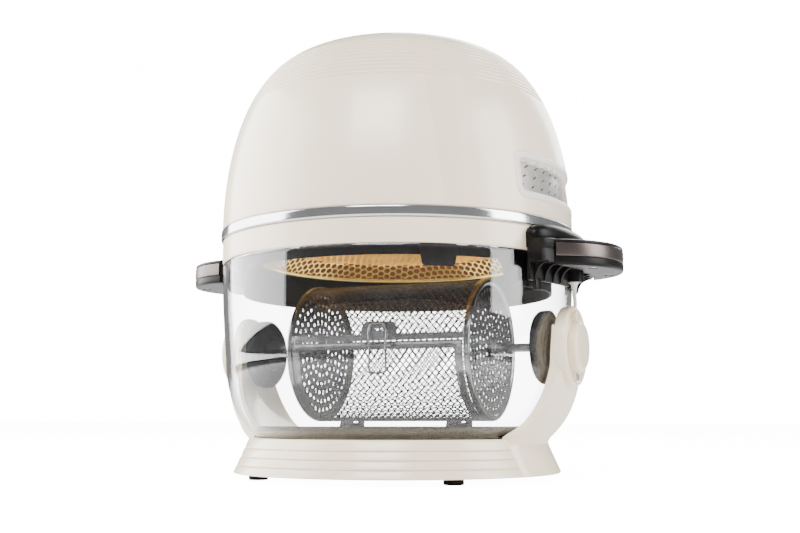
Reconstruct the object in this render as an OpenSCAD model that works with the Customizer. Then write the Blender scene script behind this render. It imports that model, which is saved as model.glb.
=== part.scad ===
// Hot-air fryer: a glass bowl on a stepped base, a lift-off heater head with
// two paddle handles, and a mesh basket that a motor in the right arm turns.
// Millimetres, +Z up, origin on the table under the bowl's axis.
// +X points to the drive arm, the front faces -Y.

/* [Base] */
// Radius of the base at its lower edge
base_r = 122.9; // [110:0.5:150]
// Radius of the base at its upper edge
base_top_r = 111.3; // [109:0.5:125]
// Height of the rubber feet
foot_h = 4.2; // [2:0.2:12]
// Height of the base above the feet
base_h = 25.7; // [22:0.5:45]
// Wall of the base moulding
base_wall = 3; // [2:0.25:4]
// Radius of one rubber foot
foot_r = 7; // [4:0.5:10]
// Distance of the feet from the axis
foot_ring_r = 107; // [70:1:112]

/* [Bowl] */
// Largest radius of the rounded lower half of the bowl
bowl_r = 129.7; // [125:0.5:145]
// Outer radius of the bowl at its rim
bowl_rim_r = 133.4; // [130:0.5:150]
// Thickness of the glass
glass_t = 3.5; // [2.5:0.25:6]
// Thickness of the glass floor
glass_floor_t = 4; // [3:0.5:6]
// Height of the glass bowl
bowl_h = 134.9; // [130:0.5:160]
// Height of the bowl's rounded part, measured down from its widest ring
bowl_curve_h = 77.5; // [70:0.5:100]

/* [Head] */
// Height of the ring that sits on the bowl
ring_h = 17.2; // [12:0.2:30]
// Height of the steel band
band_h = 7.8; // [4:0.2:14]
// How far the steel band stands proud of the ring
band_proud = 1.4; // [0.4:0.1:3]
// Radius of the dome at its foot
dome_r = 134; // [130:0.5:150]
// Height of the dome above the steel band
dome_h = 145.3; // [130:0.5:170]
// Wall of the dome
dome_wall = 3; // [2:0.25:5]
// Number of fine grooves round the shoulder
groove_count = 10; // [4:1:14]
// Outer radius of the air skirt inside the bowl
skirt_r = 118; // [112:0.5:121]
// Radius of the rim of the heater guard
guard_r = 104; // [80:1:110]

/* [Handles] */
// Distance from the axis to the tip of a handle
handle_reach = 174.5; // [165:0.5:200]
// Radius of the handle's D-shaped outline
grip_r = 56.2; // [48:0.5:60]
// Thickness of the handle
grip_t = 18.3; // [14:0.3:24]
// Height of the handle's metal edge strip
trim_h = 9.5; // [4:0.5:12]
// Depth of the handle's metal edge strip
trim_t = 3; // [1.5:0.25:5]
// Half the angle that a handle bracket covers
bracket_half = 24.7; // [18:0.5:30]
// Radius to the outer face of the right handle's bracket
bracket_r = 150; // [146:0.5:155]
// Radius to the outer face of the left handle's root
root_r = 137.5; // [136:0.5:145]

/* [Rotisserie] */
// Height of the basket's axis above the table
axis_z = 95; // [88:0.5:110]
// Outer radius of the basket's mesh
basket_r = 51; // [30:0.5:58]
// Right end of the basket
basket_right = 78; // [60:1:95]
// Left end of the basket, as a distance from the bowl's axis
basket_left = 68; // [50:1:95]
// Place of the door latch along the basket
catch_x = 9; // [-20:1:30]
// Width of the square drive rod
rod_w = 6; // [4:0.5:9]
// Radius of the hub pads inside the bowl
hub_r = 26.5; // [18:0.5:30]
// Distance from the bowl's axis to the inner face of a hub pad
hub_face = 111.3; // [106:0.1:116]
// Radius of the drive and idler sockets in the hub pads
socket_r = 12; // [8:0.5:16]

/* [Drive arm] */
// Half width of an arm where it meets the base
arm_foot_half = 44; // [34:1:50]
// Thickness of an arm
arm_t = 8; // [6:0.5:12]
// Gap between an arm and the glass
arm_gap = 1.5; // [1:0.1:3]
// Radius of the round dish at the top of an arm
dish_r = 29; // [25:0.5:34]
// Radius of the motor pod
pod_r = 18; // [14:0.5:21]
// Diameter of the short lead from the pod to the head
lead_d = 2.8; // [2:0.2:5]

/* [Hidden] */
$fn = 96;

// Clearance of a running or sliding fit
fit_gap = 0.05;

// Levels
base_top = foot_h + base_h;
bowl_floor = base_top - 5.9;
rim_z = bowl_floor + bowl_h;
widest_z = bowl_floor + 64;
ring_top = rim_z + ring_h;
band_top = ring_top + band_h;
ring_r = bowl_rim_r + 0.2;
ring_in = ring_r - 5.6;
band_r = ring_r + band_proud;
glass_flat_r = 93;
deck_top = bowl_floor - fit_gap;
deck_t = 3;
plate_t = 2;

// Rounded profiles: radius grows as the square root of the cosine
function egg_r(r, a) = r * sqrt(cos(a));
function egg_at(r, h, up) = r * pow(1 - pow(up / h, 2), 0.25);
function bowl_out(z) = z < widest_z
  ? egg_at(bowl_r, bowl_curve_h, widest_z - z)
  : bowl_r + (bowl_rim_r - bowl_r) * sin(90 * (z - widest_z) / (rim_z - widest_z));
function dome_out(z) = egg_at(dome_r, dome_h, z - band_top);
function spread(a, b, n) = [for (i = [0:n]) a + (b - a) * i / n];

module along_x() rotate([0, 90, 0]) children();
module at_axis() translate([0, 0, axis_z]) children();
module mirror_left() mirror([1, 0, 0]) children();

module x_disc(r, x0, x1) translate([x0, 0, 0]) along_x() cylinder(r=r, h=x1 - x0);

module z_ring(r_in, r_out, z0, z1)
  rotate_extrude() translate([r_in, z0]) square([r_out - r_in, z1 - z0]);

module sector(half, z0, z1, r=220)
  translate([0, 0, z0]) linear_extrude(z1 - z0)
    polygon([[0, 0], [r, -r * tan(half)], [r, r * tan(half)]]);

// Solid of revolution of everything inside the bowl's outer face plus a gap
module bowl_clear(gap) {
  levels = spread(bowl_floor, rim_z, 26);
  rotate_extrude() polygon(concat(
    [[0, bowl_floor - 20], [bowl_out(bowl_floor) + gap, bowl_floor - 20]],
    [for (z = levels) [bowl_out(z) + gap, z]],
    [[0, rim_z]]));
}

/* Base */

taper = (base_r - base_top_r) / base_h;
function base_out(z) = base_r - (z - foot_h) * taper;
module base_profile() {
  seat = bowl_out(base_top) + 0.8;
  polygon([
    [base_r - 1.5, foot_h], [base_r, foot_h + 1.5],
    [base_out(base_top - 1.5), base_top - 1.5], [base_top_r - 1.5, base_top],
    [seat, base_top], [bowl_out(bowl_floor) + 1.2, deck_top],
    [0, deck_top], [0, deck_top - deck_t],
    [base_top_r - base_wall - 3, deck_top - deck_t],
    [base_out(foot_h + plate_t) - base_wall, foot_h + plate_t],
    [base_out(foot_h + plate_t) - base_wall, foot_h]]);
}
step_pitch = 4.9;
step_zs = [for (i = [1:3]) foot_h + i * step_pitch - 0.6];

// The gap in the base that an arm's foot fills
module arm_foot_zone() difference() {
  translate([base_r / 2, -arm_foot_half, foot_h - 1])
    cube([base_r, 2 * arm_foot_half, base_h + 2]);
  cylinder(r=bowl_out(base_top) - 2, h=2 * base_h);
}

module base_shell() color("#efe9dc") difference() {
  rotate_extrude($fn=160) base_profile();
  for (z = step_zs)
    rotate_extrude($fn=160) translate([base_out(z) - 0.9, z]) square([3, 1.1]);
  arm_foot_zone();
  mirror_left() arm_foot_zone();
}

module bottom_plate() color("#2b2b2c")
  translate([0, 0, foot_h]) difference() {
    cylinder(r=base_out(foot_h + plate_t) - base_wall - 0.2, h=plate_t);
    for (a = [0:15:345]) rotate(a) translate([50, 0, -1]) cylinder(r=2.5, h=plate_t + 2);
  }

module foot(i) color("#232324") rotate(45 + 90 * i) translate([foot_ring_r, 0, 0])
  rotate_extrude($fn=48) polygon([[0, 0], [foot_r - 1, 0], [foot_r, 1], [foot_r, foot_h], [0, foot_h]]);

/* Arms */

dish_out = bowl_out(axis_z) + arm_gap + arm_t + 1.4;
dish_floor = dish_out - 4;
web_in = dish_floor - 2;
rotor_in = bowl_out(axis_z) + arm_gap;
rotor_r = pod_r;
shaft_r = 3;
arm_levels = spread(base_top, axis_z + dish_r, 18);

module arm_profile() polygon(concat(
  [[base_r - 1.5, foot_h], [base_r, foot_h + 1.5], [base_out(base_top - 1.5), base_top - 1.5]],
  [for (z = arm_levels) [bowl_out(z) + arm_gap + arm_t, z]],
  [for (i = [len(arm_levels) - 1:-1:0]) [bowl_out(arm_levels[i]) + arm_gap, arm_levels[i]]],
  [[bowl_out(base_top) + arm_gap, bowl_floor],
   [base_out(foot_h + plate_t) - base_wall, foot_h + plate_t],
   [base_out(foot_h + plate_t) - base_wall, foot_h]]));

module arm_outline() {
  waist = axis_z - 14;
  half = sqrt(dish_r * dish_r - 14 * 14);
  polygon([[-arm_foot_half, foot_h - 1], [arm_foot_half, foot_h - 1],
    [arm_foot_half, base_top], [arm_foot_half - 5, base_top + 3],
    [half, waist], [half, axis_z], [-half, axis_z], [-half, waist],
    [-arm_foot_half + 5, base_top + 3], [-arm_foot_half, base_top]]);
}

module arm_body() difference() {
  union() {
    intersection() {
      rotate_extrude($fn=160) arm_profile();
      along_yz() arm_outline();
    }
    at_axis() x_disc(dish_r, rotor_in - 8, dish_out);
  }
  bowl_clear(arm_gap);
  at_axis() x_disc(dish_r - 3, dish_floor, dish_out + 20);
  at_axis() x_disc(rotor_r + 1, 100, web_in);
  at_axis() x_disc(shaft_r + fit_gap, 100, dish_out);
}
// Carries a drawing in (Y, Z) along +X
module along_yz() translate([80, 0, 0]) rotate([90, 0, 90]) linear_extrude(100) children();

// The right arm's rim is notched where the lead comes over it
module arm_right() color("#f0eadd") difference() {
  arm_body();
  translate([lead_x + 0.3, 0, axis_z + dish_r - 5]) cylinder(r=lead_d / 2 + 0.6, h=8, $fn=32);
}
module arm_left() color("#f0eadd") mirror_left() arm_body();

pod_floor = dish_floor + 1;
pod_top = dish_floor + 6.2;
lid_top = pod_top + 2.8;
tab_top = dish_r - 3.4;
module pod_body() color("#ece4d6") at_axis() difference() {
  union() {
    x_disc(pod_r, dish_floor, pod_top);
    x_disc(pod_r + 2.5, dish_floor, dish_floor + 1.5);
    translate([dish_floor, -5, 0]) cube([5, 10, tab_top]);
    translate([dish_floor, -4.5, -tab_top]) cube([3, 9, tab_top]);
  }
  x_disc(pod_r - 1.5, pod_floor, pod_top + 1);
  x_disc(shaft_r + fit_gap, dish_floor - 1, pod_floor + 1);
  translate([dish_floor - 1, 0, -pod_r - 4]) along_x() cylinder(r=1.55, h=6);
  translate([lead_x, 0, tab_top - 6]) cylinder(r=lead_d / 2 + 0.05, h=10, $fn=24);
}
module pod_lid() color("#eadfd2") at_axis() translate([pod_top, 0, 0]) along_x()
  rotate_extrude() polygon([[0, 0], [pod_r, 0], [pod_r, 1.2], [pod_r - 1.6, 2.2],
    [pod_r - 2.4, lid_top - pod_top], [0, lid_top - pod_top]]);
module pod_screw() color("#b9babb") at_axis() translate([dish_floor, 0, -pod_r - 4]) along_x() {
  cylinder(r=1.5, h=3);
  translate([0, 0, 3]) cylinder(r=2.6, h=1.4);
}
module gearmotor() color("#a9aaad") at_axis() difference() {
  x_disc(pod_r - 2, pod_floor, pod_top - 0.2);
  x_disc(shaft_r + fit_gap, pod_floor - 1, pod_floor + 3);
}
module magnet_rotor() color("#4a4a4d") at_axis() {
  difference() {
    x_disc(rotor_r, rotor_in + 0.2, web_in - 0.5);
    for (a = [30:60:330]) rotate([a, 0, 0]) translate([0, 0, 11]) x_disc(3, rotor_in - 1, rotor_in + 1.4);
  }
  x_disc(shaft_r, web_in - 1, pod_floor + 2.6);
}
module idler_cap() color("#ece4d6") mirror_left() at_axis() {
  x_disc(pod_r + 2.5, dish_floor, dish_floor + 1.5);
  translate([dish_floor + 1.5, 0, 0]) along_x() cylinder(r1=pod_r, r2=pod_r - 3, h=3);
  x_disc(shaft_r, web_in + 0.1, dish_floor + 1);
}

// Short lead from the pod up to the socket under the right handle
lead_x = dish_floor + 2.6;
socket_z = rim_z - 18;
lead_z0 = axis_z + tab_top - 5;
plug_z0 = socket_z - 6;
lead_points = [[lead_x, 0, lead_z0], [lead_x, 0, lead_z0 + 5], [lead_x + 0.6, -0.5, lead_z0 + 10],
  [lead_x + 0.6, -0.5, plug_z0 - 7], [lead_x, 0, plug_z0 - 3], [lead_x, 0, plug_z0]];
function lead_ring(p, n) = [for (i = [0:n - 1])
  p + lead_d / 2 * [cos(360 * i / n), sin(360 * i / n), 0]];
module lead() color("#efe6d6") {
  n = 8;
  m = len(lead_points);
  polyhedron(
    points=[for (p = lead_points) for (q = lead_ring(p, n)) q],
    faces=concat(
      [[for (i = [0:n - 1]) i]],
      [for (k = [0:m - 2]) for (i = [0:n - 1])
        [k * n + i, (k + 1) * n + i, (k + 1) * n + (i + 1) % n, k * n + (i + 1) % n]],
      [[for (i = [n - 1:-1:0]) (m - 1) * n + i]]));
}
module lead_plug() color("#e9e0d0") translate([lead_x, 0, 0]) {
  translate([0, 0, plug_z0]) cylinder(r=4, h=4, $fn=48);
  translate([0, 0, plug_z0 + 4]) cylinder(r=3.5, h=10, $fn=48);
}

/* Bowl */

function bowl_in(z) = bowl_out(z) - glass_t;
glass_top = bowl_floor + glass_floor_t;
module bowl_inner_solid(gap) {
  rotate_extrude($fn=160) polygon(concat([[0, glass_top + 5]],
    [for (z = spread(glass_top + 5, rim_z, 26)) [bowl_in(z) - gap, z]], [[0, rim_z]]));
}
module glass_bowl() color([0.85, 0.9, 0.92, 0.35]) rotate_extrude($fn=160) polygon(concat(
  [[0, bowl_floor], [glass_flat_r, bowl_floor]],
  [for (z = spread(bowl_floor + 0.6, rim_z, 30)) [bowl_out(z), z]],
  [for (z = spread(rim_z, glass_top + 5, 26)) [bowl_in(z), z]],
  [[bowl_in(glass_top + 5) - 4, glass_top + 2], [bowl_in(glass_top + 5) - 10, glass_top + 0.4],
   [bowl_in(glass_top + 5) - 16, glass_top], [0, glass_top]]));

// Dark polished tray on the glass floor, with a rounded rim
tray_flat_r = 88;
tray_r = 107;
tray_h = 11;
tray_t = 0.8;
module tray_shape(inset) polygon(concat(
  [[0, glass_top + fit_gap + inset]],
  [for (a = spread(0, 90, 12)) [tray_flat_r + (tray_r - tray_flat_r - inset) * sin(a),
    glass_top + fit_gap + inset + tray_h * (1 - cos(a))]],
  [[0, glass_top + fit_gap + inset + tray_h]]));
module drip_tray() color("#4a4b4d") rotate_extrude($fn=160) difference() {
  tray_shape(0);
  tray_shape(tray_t);
}

hub_back = bowl_in(axis_z) - 4.6;
module hub_pad() at_axis() difference() {
  translate([hub_face, 0, 0]) along_x() rotate_extrude() polygon([
    [0, 0], [hub_r - 3, 0], [hub_r, 2.4], [hub_r, hub_back - hub_face], [0, hub_back - hub_face]]);
  x_disc(socket_r + fit_gap, hub_face - 1, hub_face + 7.2);
}
module hub_foot() intersection() {
  at_axis() x_disc(hub_r - 6, hub_back - 2, bowl_r);
  bowl_inner_solid(0.02);
}
module hub_right() color("#3a3a3d") {
  hub_pad();
  hub_foot();
}
module hub_left() color("#3a3a3d") mirror_left() {
  hub_pad();
  hub_foot();
}

/* Basket, turning about the X axis at axis_z */

cage_t = 1;
hoop_w = 4.5;
hoop_r = basket_r + 1;
seam_a = -95;
door_a0 = seam_a + 0.5;
door_a1 = -4;
body_x0 = -basket_left + hoop_w;
body_x1 = basket_right - hoop_w;
// Sector tube about the X axis; angle 0 points down, -90 to the front
module x_sector(r0, r1, x0, x1, a0, a1) translate([x0, 0, 0]) along_x()
  rotate([0, 0, a0]) rotate_extrude(angle=a1 - a0) translate([r0, 0]) square([r1 - r0, x1 - x0]);

module basket_mesh() color("#b8bbbd") at_axis()
  x_sector(basket_r - cage_t, basket_r, body_x0, body_x1, 0, 360 + seam_a);

hole_pitch = 8;
hole_r = 2;
cap_t = 1.2;
module end_cap(x) at_axis() difference() {
  x_disc(hoop_r, x, x + hoop_w);
  x_disc(basket_r - cage_t, x - 1, x + hoop_w - cap_t);
  for (r = [14:hole_pitch:basket_r - 5], i = [0:1:r / 2 - 1])
    rotate([360 * i / (r / 2), 0, 0]) translate([0, 0, r]) x_disc(hole_r, x, x + hoop_w + 1);
}
module basket_cap_right() color("#c9cbcd") end_cap(basket_right - hoop_w);
module basket_cap_left() color("#c9cbcd") mirror_left() end_cap(basket_left - hoop_w);

bar_w = 6;
bar_a = 6.5;
bar_t = 0.9;
hinge_len = 20;
hinge_inset = 14;
hinge_xs = [body_x0 + hinge_inset, body_x1 - hinge_inset - hinge_len];
hinge_y = 1.6;
hinge_z = -(basket_r + 3.6);
pin_r = 0.8;
module at_hinge(x) translate([x, hinge_y, hinge_z]) children();
module basket_frame() color("#c4c7c9") at_axis() {
  x_sector(basket_r, basket_r + bar_t, body_x0, body_x1, seam_a - 5.5, seam_a);
  x_sector(basket_r, basket_r + bar_t, body_x0, body_x1, 0.5, 6);
  for (x = hinge_xs) {
    at_hinge(x) along_x() cylinder(r=pin_r, h=hinge_len, $fn=32);
    for (dx = [0, hinge_len - 5]) {
      at_hinge(x + dx) along_x() cylinder(r=1.8, h=5, $fn=32);
      at_hinge(x + dx) cube([5, 1.8, -hinge_z - basket_r]);
    }
  }
}
module rod_right() color("#c9cbcd") at_axis() {
  translate([basket_right, -rod_w / 2, -rod_w / 2]) cube([hub_face + 5 - basket_right, rod_w, rod_w]);
  x_disc(7, basket_right, basket_right + 3);
}
module rod_left() color("#c9cbcd") mirror_left() at_axis() {
  translate([basket_left, -rod_w / 2, -rod_w / 2]) cube([hub_face + 5 - basket_left, rod_w, rod_w]);
  x_disc(7, basket_left, basket_left + 3);
}
module rod_socket() at_axis() difference() {
  x_disc(socket_r, hub_face - 1.6, hub_face + 7);
  translate([hub_face - 3, -rod_w / 2, -rod_w / 2]) cube([8, rod_w, rod_w]);
}
module drive_socket() color("#2f2f31") rod_socket();
module idler_socket() color("#2f2f31") mirror_left() rod_socket();

// The slotted latch plate stands up from the fixed bar above the door
catch_z = 5.4;
catch_h = 13;
catch_t = 1;
catch_y = -sqrt(pow(basket_r + bar_t, 2) - catch_z * catch_z);
module latch_catch() color("#cfd1d3") at_axis() translate([catch_x, catch_y, catch_z]) difference() {
  rotate([90, 0, 0]) linear_extrude(catch_t)
    polygon([[-14.5, 0], [14.5, 0], [13.5, catch_h - 3], [11.5, catch_h], [-11.5, catch_h],
      [-13.5, catch_h - 3]]);
  translate([-3.5, -2 * catch_t, catch_h / 2]) cube([7, 3 * catch_t, 1.6]);
}

module door_frame() color("#d2d4d6") at_axis() {
  door_x0 = body_x0 + 0.8;
  door_x1 = body_x1 - 0.8;
  difference() {
    x_sector(basket_r, basket_r + bar_t, door_x0, door_x1, door_a0, door_a1);
    x_sector(basket_r - 1, basket_r + 2, door_x0 + bar_w, door_x1 - bar_w,
      door_a0 + bar_a, door_a1 - bar_a);
  }
  for (x = hinge_xs) difference() {
    union() {
      at_hinge(x + 5.3) along_x() cylinder(r=1.8, h=hinge_len - 10.6, $fn=32);
      translate([x + 5.3, hinge_y - 7.5, hinge_z - 0.6]) cube([hinge_len - 10.6, 7.5, 1.2]);
      translate([x + 5.3, hinge_y - 7.5, hinge_z]) cube([hinge_len - 10.6, 1.2, -hinge_z - basket_r]);
    }
    at_hinge(x - 1) along_x() cylinder(r=pin_r + fit_gap, h=hinge_len + 2, $fn=32);
  }
  for (s = [-1, 1]) difference() {
    translate([catch_x + s * 9.5 - 1, bail_y - 1.8, bail_z - 1.8]) cube([2, bail_stand + 1.8 + 0.4, 3.6]);
    translate([catch_x + s * 9.5 - 2, bail_y, bail_z]) along_x()
      cylinder(r=wire_r + fit_gap, h=4, $fn=32);
  }
}
module door_mesh() color("#b8bbbd") at_axis()
  x_sector(basket_r - cage_t, basket_r, body_x0 + 0.8, body_x1 - 0.8, door_a0, door_a1);

wire_r = 0.8;
bail_stand = 2.6;
bail_y = -(basket_r + bar_t) - bail_stand;
bail_z = 1;
bail_half = 6.6;
bail_top = 17;
bail_low = -18.5;
module latch_bail() color("#8f9396") at_axis() translate([catch_x, bail_y, 0]) {
  translate([-11, 0, bail_z]) along_x() cylinder(r=wire_r, h=22, $fn=32);
  for (s = [-1, 1])
    translate([s * bail_half, 0, bail_low]) cylinder(r=wire_r, h=bail_top - bail_low, $fn=24);
  for (z = [bail_low, bail_top]) translate([-bail_half, 0, z]) along_x() {
    cylinder(r=wire_r, h=2 * bail_half, $fn=24);
    sphere(r=wire_r, $fn=24);
    translate([0, 0, 2 * bail_half]) sphere(r=wire_r, $fn=24);
  }
}

/* Head shell */

module dome_solid(inset) rotate_extrude($fn=160) polygon(concat([[0, band_top]],
  [for (a = spread(0, 88, 30)) [egg_r(dome_r - inset, a), band_top + (dome_h - inset) * sin(a)]],
  [[0, band_top + dome_h - inset]]));

vent_z0 = band_top + 11;
vent_z1 = vent_z0 + 34;
vent_half = 62;
vent_in = 8;
module rounded_bar(half, z0, z1, r) {
  translate([-half + r, z0]) square([2 * (half - r), z1 - z0]);
  translate([-half, z0 + r]) square([2 * half, z1 - z0 - 2 * r]);
  for (x = [-half + r, half - r], z = [z0 + r, z1 - r]) translate([x, z]) circle(r=r, $fn=48);
}
vent_corner = 9;
module vent_window(shrink) along_yz()
  rounded_bar(vent_half - shrink, vent_z0 + shrink, vent_z1 - shrink, vent_corner - shrink);
module vent_cut() intersection() {
  vent_window(0);
  translate([60, -100, 0]) cube([100, 200, 400]);
}
panel_r = 43;
module crown_cut() translate([0, 0, band_top + dome_h - 12]) cylinder(r=panel_r, h=30);
inlet_w = 31;
inlet_h = 25;
inlet_z = band_top + 24;
groove_top = band_top + dome_h * 0.86;
groove_low = band_top + dome_h * 0.65;
module dome_shell() color("#f1ecdf") difference() {
  dome_solid(0);
  translate([0, 0, -0.01]) dome_solid(dome_wall);
  for (z = spread(groove_low, groove_top, groove_count - 1))
    rotate_extrude($fn=160) translate([dome_out(z) - 0.7, z - 0.3]) square([4, 0.9]);
  vent_cut();
  mirror_left() vent_cut();
  crown_cut();
  translate([-inlet_w / 2, 90, inlet_z - inlet_h / 2]) cube([inlet_w, 60, inlet_h]);
}
module steel_band() color("#cfd2d4") rotate_extrude($fn=160) polygon([
  [ring_in + 1, ring_top], [band_r - 0.6, ring_top], [band_r, ring_top + 0.6],
  [band_r, band_top - 0.6], [band_r - 0.6, band_top], [ring_in + 1, band_top]]);
module lower_ring() color("#f0eadc") rotate_extrude($fn=160) polygon([
  [ring_in, rim_z], [ring_r - 0.8, rim_z], [ring_r, rim_z + 0.8],
  [ring_r, ring_top], [ring_in, ring_top]]);

slot_rows = 3;
slots_in_row = 9;
vent_border = 5;
slot_l = 4.4;
slot_w = 1.2;
module vent_insert() difference() {
  intersection() {
    difference() {
      dome_solid(0);
      dome_solid(vent_in);
    }
    vent_cut();
  }
  intersection() {
    difference() {
      dome_solid(-2);
      dome_solid(vent_in - 2.5);
    }
    vent_window(vent_border);
    translate([60, -100, 0]) cube([100, 200, 400]);
  }
  for (row = [0:slot_rows - 1], i = [0:slots_in_row - 1])
    translate([90, (i - (slots_in_row - 1) / 2) * 11.5 + (row - 1) * 3, vent_z0 + 10 + row * 7])
      rotate([30, 0, 0]) translate([0, -slot_l / 2, 0]) cube([60, slot_l, slot_w]);
}
module vent_right() color("#d9d3c8") vent_insert();
module vent_left() color("#d9d3c8") mirror_left() vent_insert();

module touch_panel() color("#161618") intersection() {
  dome_solid(0);
  translate([0, 0, band_top + dome_h - 4.5]) cylinder(r=panel_r - 0.3, h=20);
}
board_z = band_top + dome_h - 12;
module control_board() color("#2f6b45") {
  translate([0, 0, board_z]) cylinder(r=panel_r - 6, h=1.6);
  for (a = [45:90:315]) rotate(a) translate([panel_r - 11, 0, board_z + 1])
    cylinder(r=2.5, h=6.5, $fn=32);
  translate([-14, -8, board_z - 8]) cube([28, 16, 9]);
}

/* Heater */

shield_low = rim_z + 4;
shield_top = band_top + 20;
shield_t = 1.5;
motor_z0 = shield_top + 12;
motor_h = 34;
motor_r = 29;
head_shaft_r = 4;
shelf_in = guard_r + 2;
module heat_shield() color("#4c4a48") rotate_extrude() polygon([
  [ring_in - 0.02, shield_low], [shelf_in - 4, shield_low], [shelf_in - 7, shield_top - shield_t],
  [head_shaft_r + 2, shield_top - shield_t], [head_shaft_r + 2, shield_top],
  [shelf_in - 5.5, shield_top], [shelf_in - 2.5, shield_low + shield_t],
  [ring_in - 0.02, shield_low + shield_t]]);
module chassis() color("#9b9da0") {
  difference() {
    z_ring(shelf_in, ring_in + 1, ring_top, ring_top + 2);
    for (a = [0:30:330]) rotate(a) translate([shelf_in + 10, 0, ring_top - 1]) cylinder(r=3, h=4, $fn=32);
  }
  for (a = [45:90:315]) rotate(a) {
    translate([shelf_in + 4, -8, ring_top + 1]) cube([2, 16, motor_z0 - ring_top - 1]);
    translate([motor_r, -8, motor_z0 - 2]) cube([shelf_in + 5 - motor_r, 16, 2]);
  }
  z_ring(head_shaft_r + 4, motor_r + 6, motor_z0 - 2, motor_z0);
}
module motor() color("#77797c") difference() {
  union() {
    translate([0, 0, motor_z0]) cylinder(r=motor_r, h=motor_h);
    for (a = [45:90:315]) rotate(a) translate([motor_r - 1, -5, motor_z0]) cube([6, 10, 3]);
  }
  translate([0, 0, motor_z0 - 1]) cylinder(r=head_shaft_r + fit_gap, h=motor_h + 2, $fn=48);
}
fan_z = shield_top - 14;
module motor_shaft() color("#c7c9cb")
  translate([0, 0, fan_z - 2]) cylinder(r=head_shaft_r, h=motor_z0 + motor_h + 16 - fan_z + 2, $fn=48);
module fan_wheel(r, h, blades, pitch) difference() {
  union() {
    cylinder(r=10, h=h);
    translate([0, 0, h - 1]) cylinder(r=r * 0.7, h=1);
    for (i = [0:blades - 1]) rotate(360 * i / blades) translate([8, 0, h / 2])
      rotate([pitch, 0, 0]) translate([0, -0.6, -h / 2]) cube([r - 9, 1.2, h * 0.9]);
  }
  translate([0, 0, -1]) cylinder(r=head_shaft_r, h=h + 2, $fn=48);
}
module convection_fan() color("#b4b6b8") translate([0, 0, fan_z]) fan_wheel(55, 9, 8, 20);
module cooling_fan() color("#3b3c3e") translate([0, 0, motor_z0 + motor_h + 3]) fan_wheel(44, 12, 9, 35);

element_z = fan_z - 9;
element_r = 3.2;
module heating_element() color("#8e4b3a") {
  for (r = [84, 70]) rotate_extrude() translate([r, element_z]) circle(r=element_r, $fn=32);
  for (a = [0:90:270]) rotate(a) translate([70, -2, element_z - 1]) cube([14, 4, 2]);
  for (s = [-1, 1]) rotate(90 + s * 6) translate([84, 0, element_z])
    cylinder(r=2.6, h=shield_top - shield_t - element_z, $fn=32);
}
module thermostat() color("#b8ab8b") rotate(-60) translate([60, 0, 0]) {
  translate([0, 0, shield_top]) cylinder(r=8, h=6, $fn=48);
  translate([-9, -3, shield_top + 6]) cube([18, 6, 3]);
}
guard_t = 1;
guard_low = shield_low - 3;
guard_top = shield_low + 10.6;
module guard() color("#c79a4e") rotate_extrude() polygon([
  [guard_r, guard_low], [guard_r, shield_low], [guard_r - 2.2, shield_low],
  [guard_r - 11.7, guard_top], [0, guard_top + 2.4], [0, guard_top + 2.4 - guard_t],
  [guard_r - 12.4, guard_top - guard_t], [guard_r - 3.2, guard_low]]);

skirt_t = 1.6;
skirt_low = rim_z - 23;
front_low = rim_z - 6;
tab_low = rim_z - 14;
tab_angles = [37.5:90:307.5];
module air_skirt() color("#1f1f21") {
  difference() {
    z_ring(skirt_r - skirt_t, skirt_r, skirt_low, shield_low);
    rotate(-90) sector(62, skirt_low - 1, front_low);
  }
  z_ring(skirt_r, ring_in - 0.6, shield_low - 1.5, shield_low);
  for (a = tab_angles) rotate(a) translate([skirt_r + 2, 0, 0]) rotate([90, 0, 90]) linear_extrude(2)
    polygon([[-14, shield_low - 1.5], [-11, tab_low], [11, tab_low], [14, shield_low - 1.5]]);
}

/* Handles */

grip_z0 = rim_z - 11.2;
grip_z1 = grip_z0 + grip_t;
grip_x = handle_reach - grip_r;
trim_z0 = grip_z0 + (grip_t - trim_h) / 2 + 1.7;
cove_r = 12;
bracket_in = bowl_rim_r + 1.2;
bracket_low = rim_z - 21.4;
module bracket_body() intersection() {
  rotate_extrude($fn=160) polygon(concat(
    [[bracket_in, bracket_low], [bracket_r - cove_r, bracket_low]],
    [for (a = spread(180, 90, 8)) [bracket_r + cove_r * cos(a), bracket_low + cove_r * sin(a)]],
    [[bracket_r, grip_z1], [ring_r, grip_z1], [ring_r, rim_z + 1.2], [bracket_in, rim_z + 1.2]]));
  sector(bracket_half, 0, 300);
}
// The right bracket has a pocket for the lead's socket, and a small hook at its front end
pocket_r = 7;
hook_w = 6;
hook_h = 6.2;
module bracket_right() color("#232224") {
  difference() {
    bracket_body();
    translate([lead_x, 0, bracket_low - 1]) cylinder(r=pocket_r, h=18.4, $fn=48);
  }
  rotate(-21) translate([bracket_in + 0.5, -hook_w / 2, bracket_low - hook_h])
    cube([3, hook_w, hook_h + 1]);
}
// The left handle has no socket, so a plain root joins it to the ring
module bracket_left() color("#232224") mirror_left() intersection() {
  union() {
    z_ring(ring_r, root_r, rim_z + 1.2, grip_z1);
    z_ring(bracket_in, root_r, grip_z0, rim_z + 1.3);
  }
  sector(bracket_half - 1, 0, 300);
}

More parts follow.
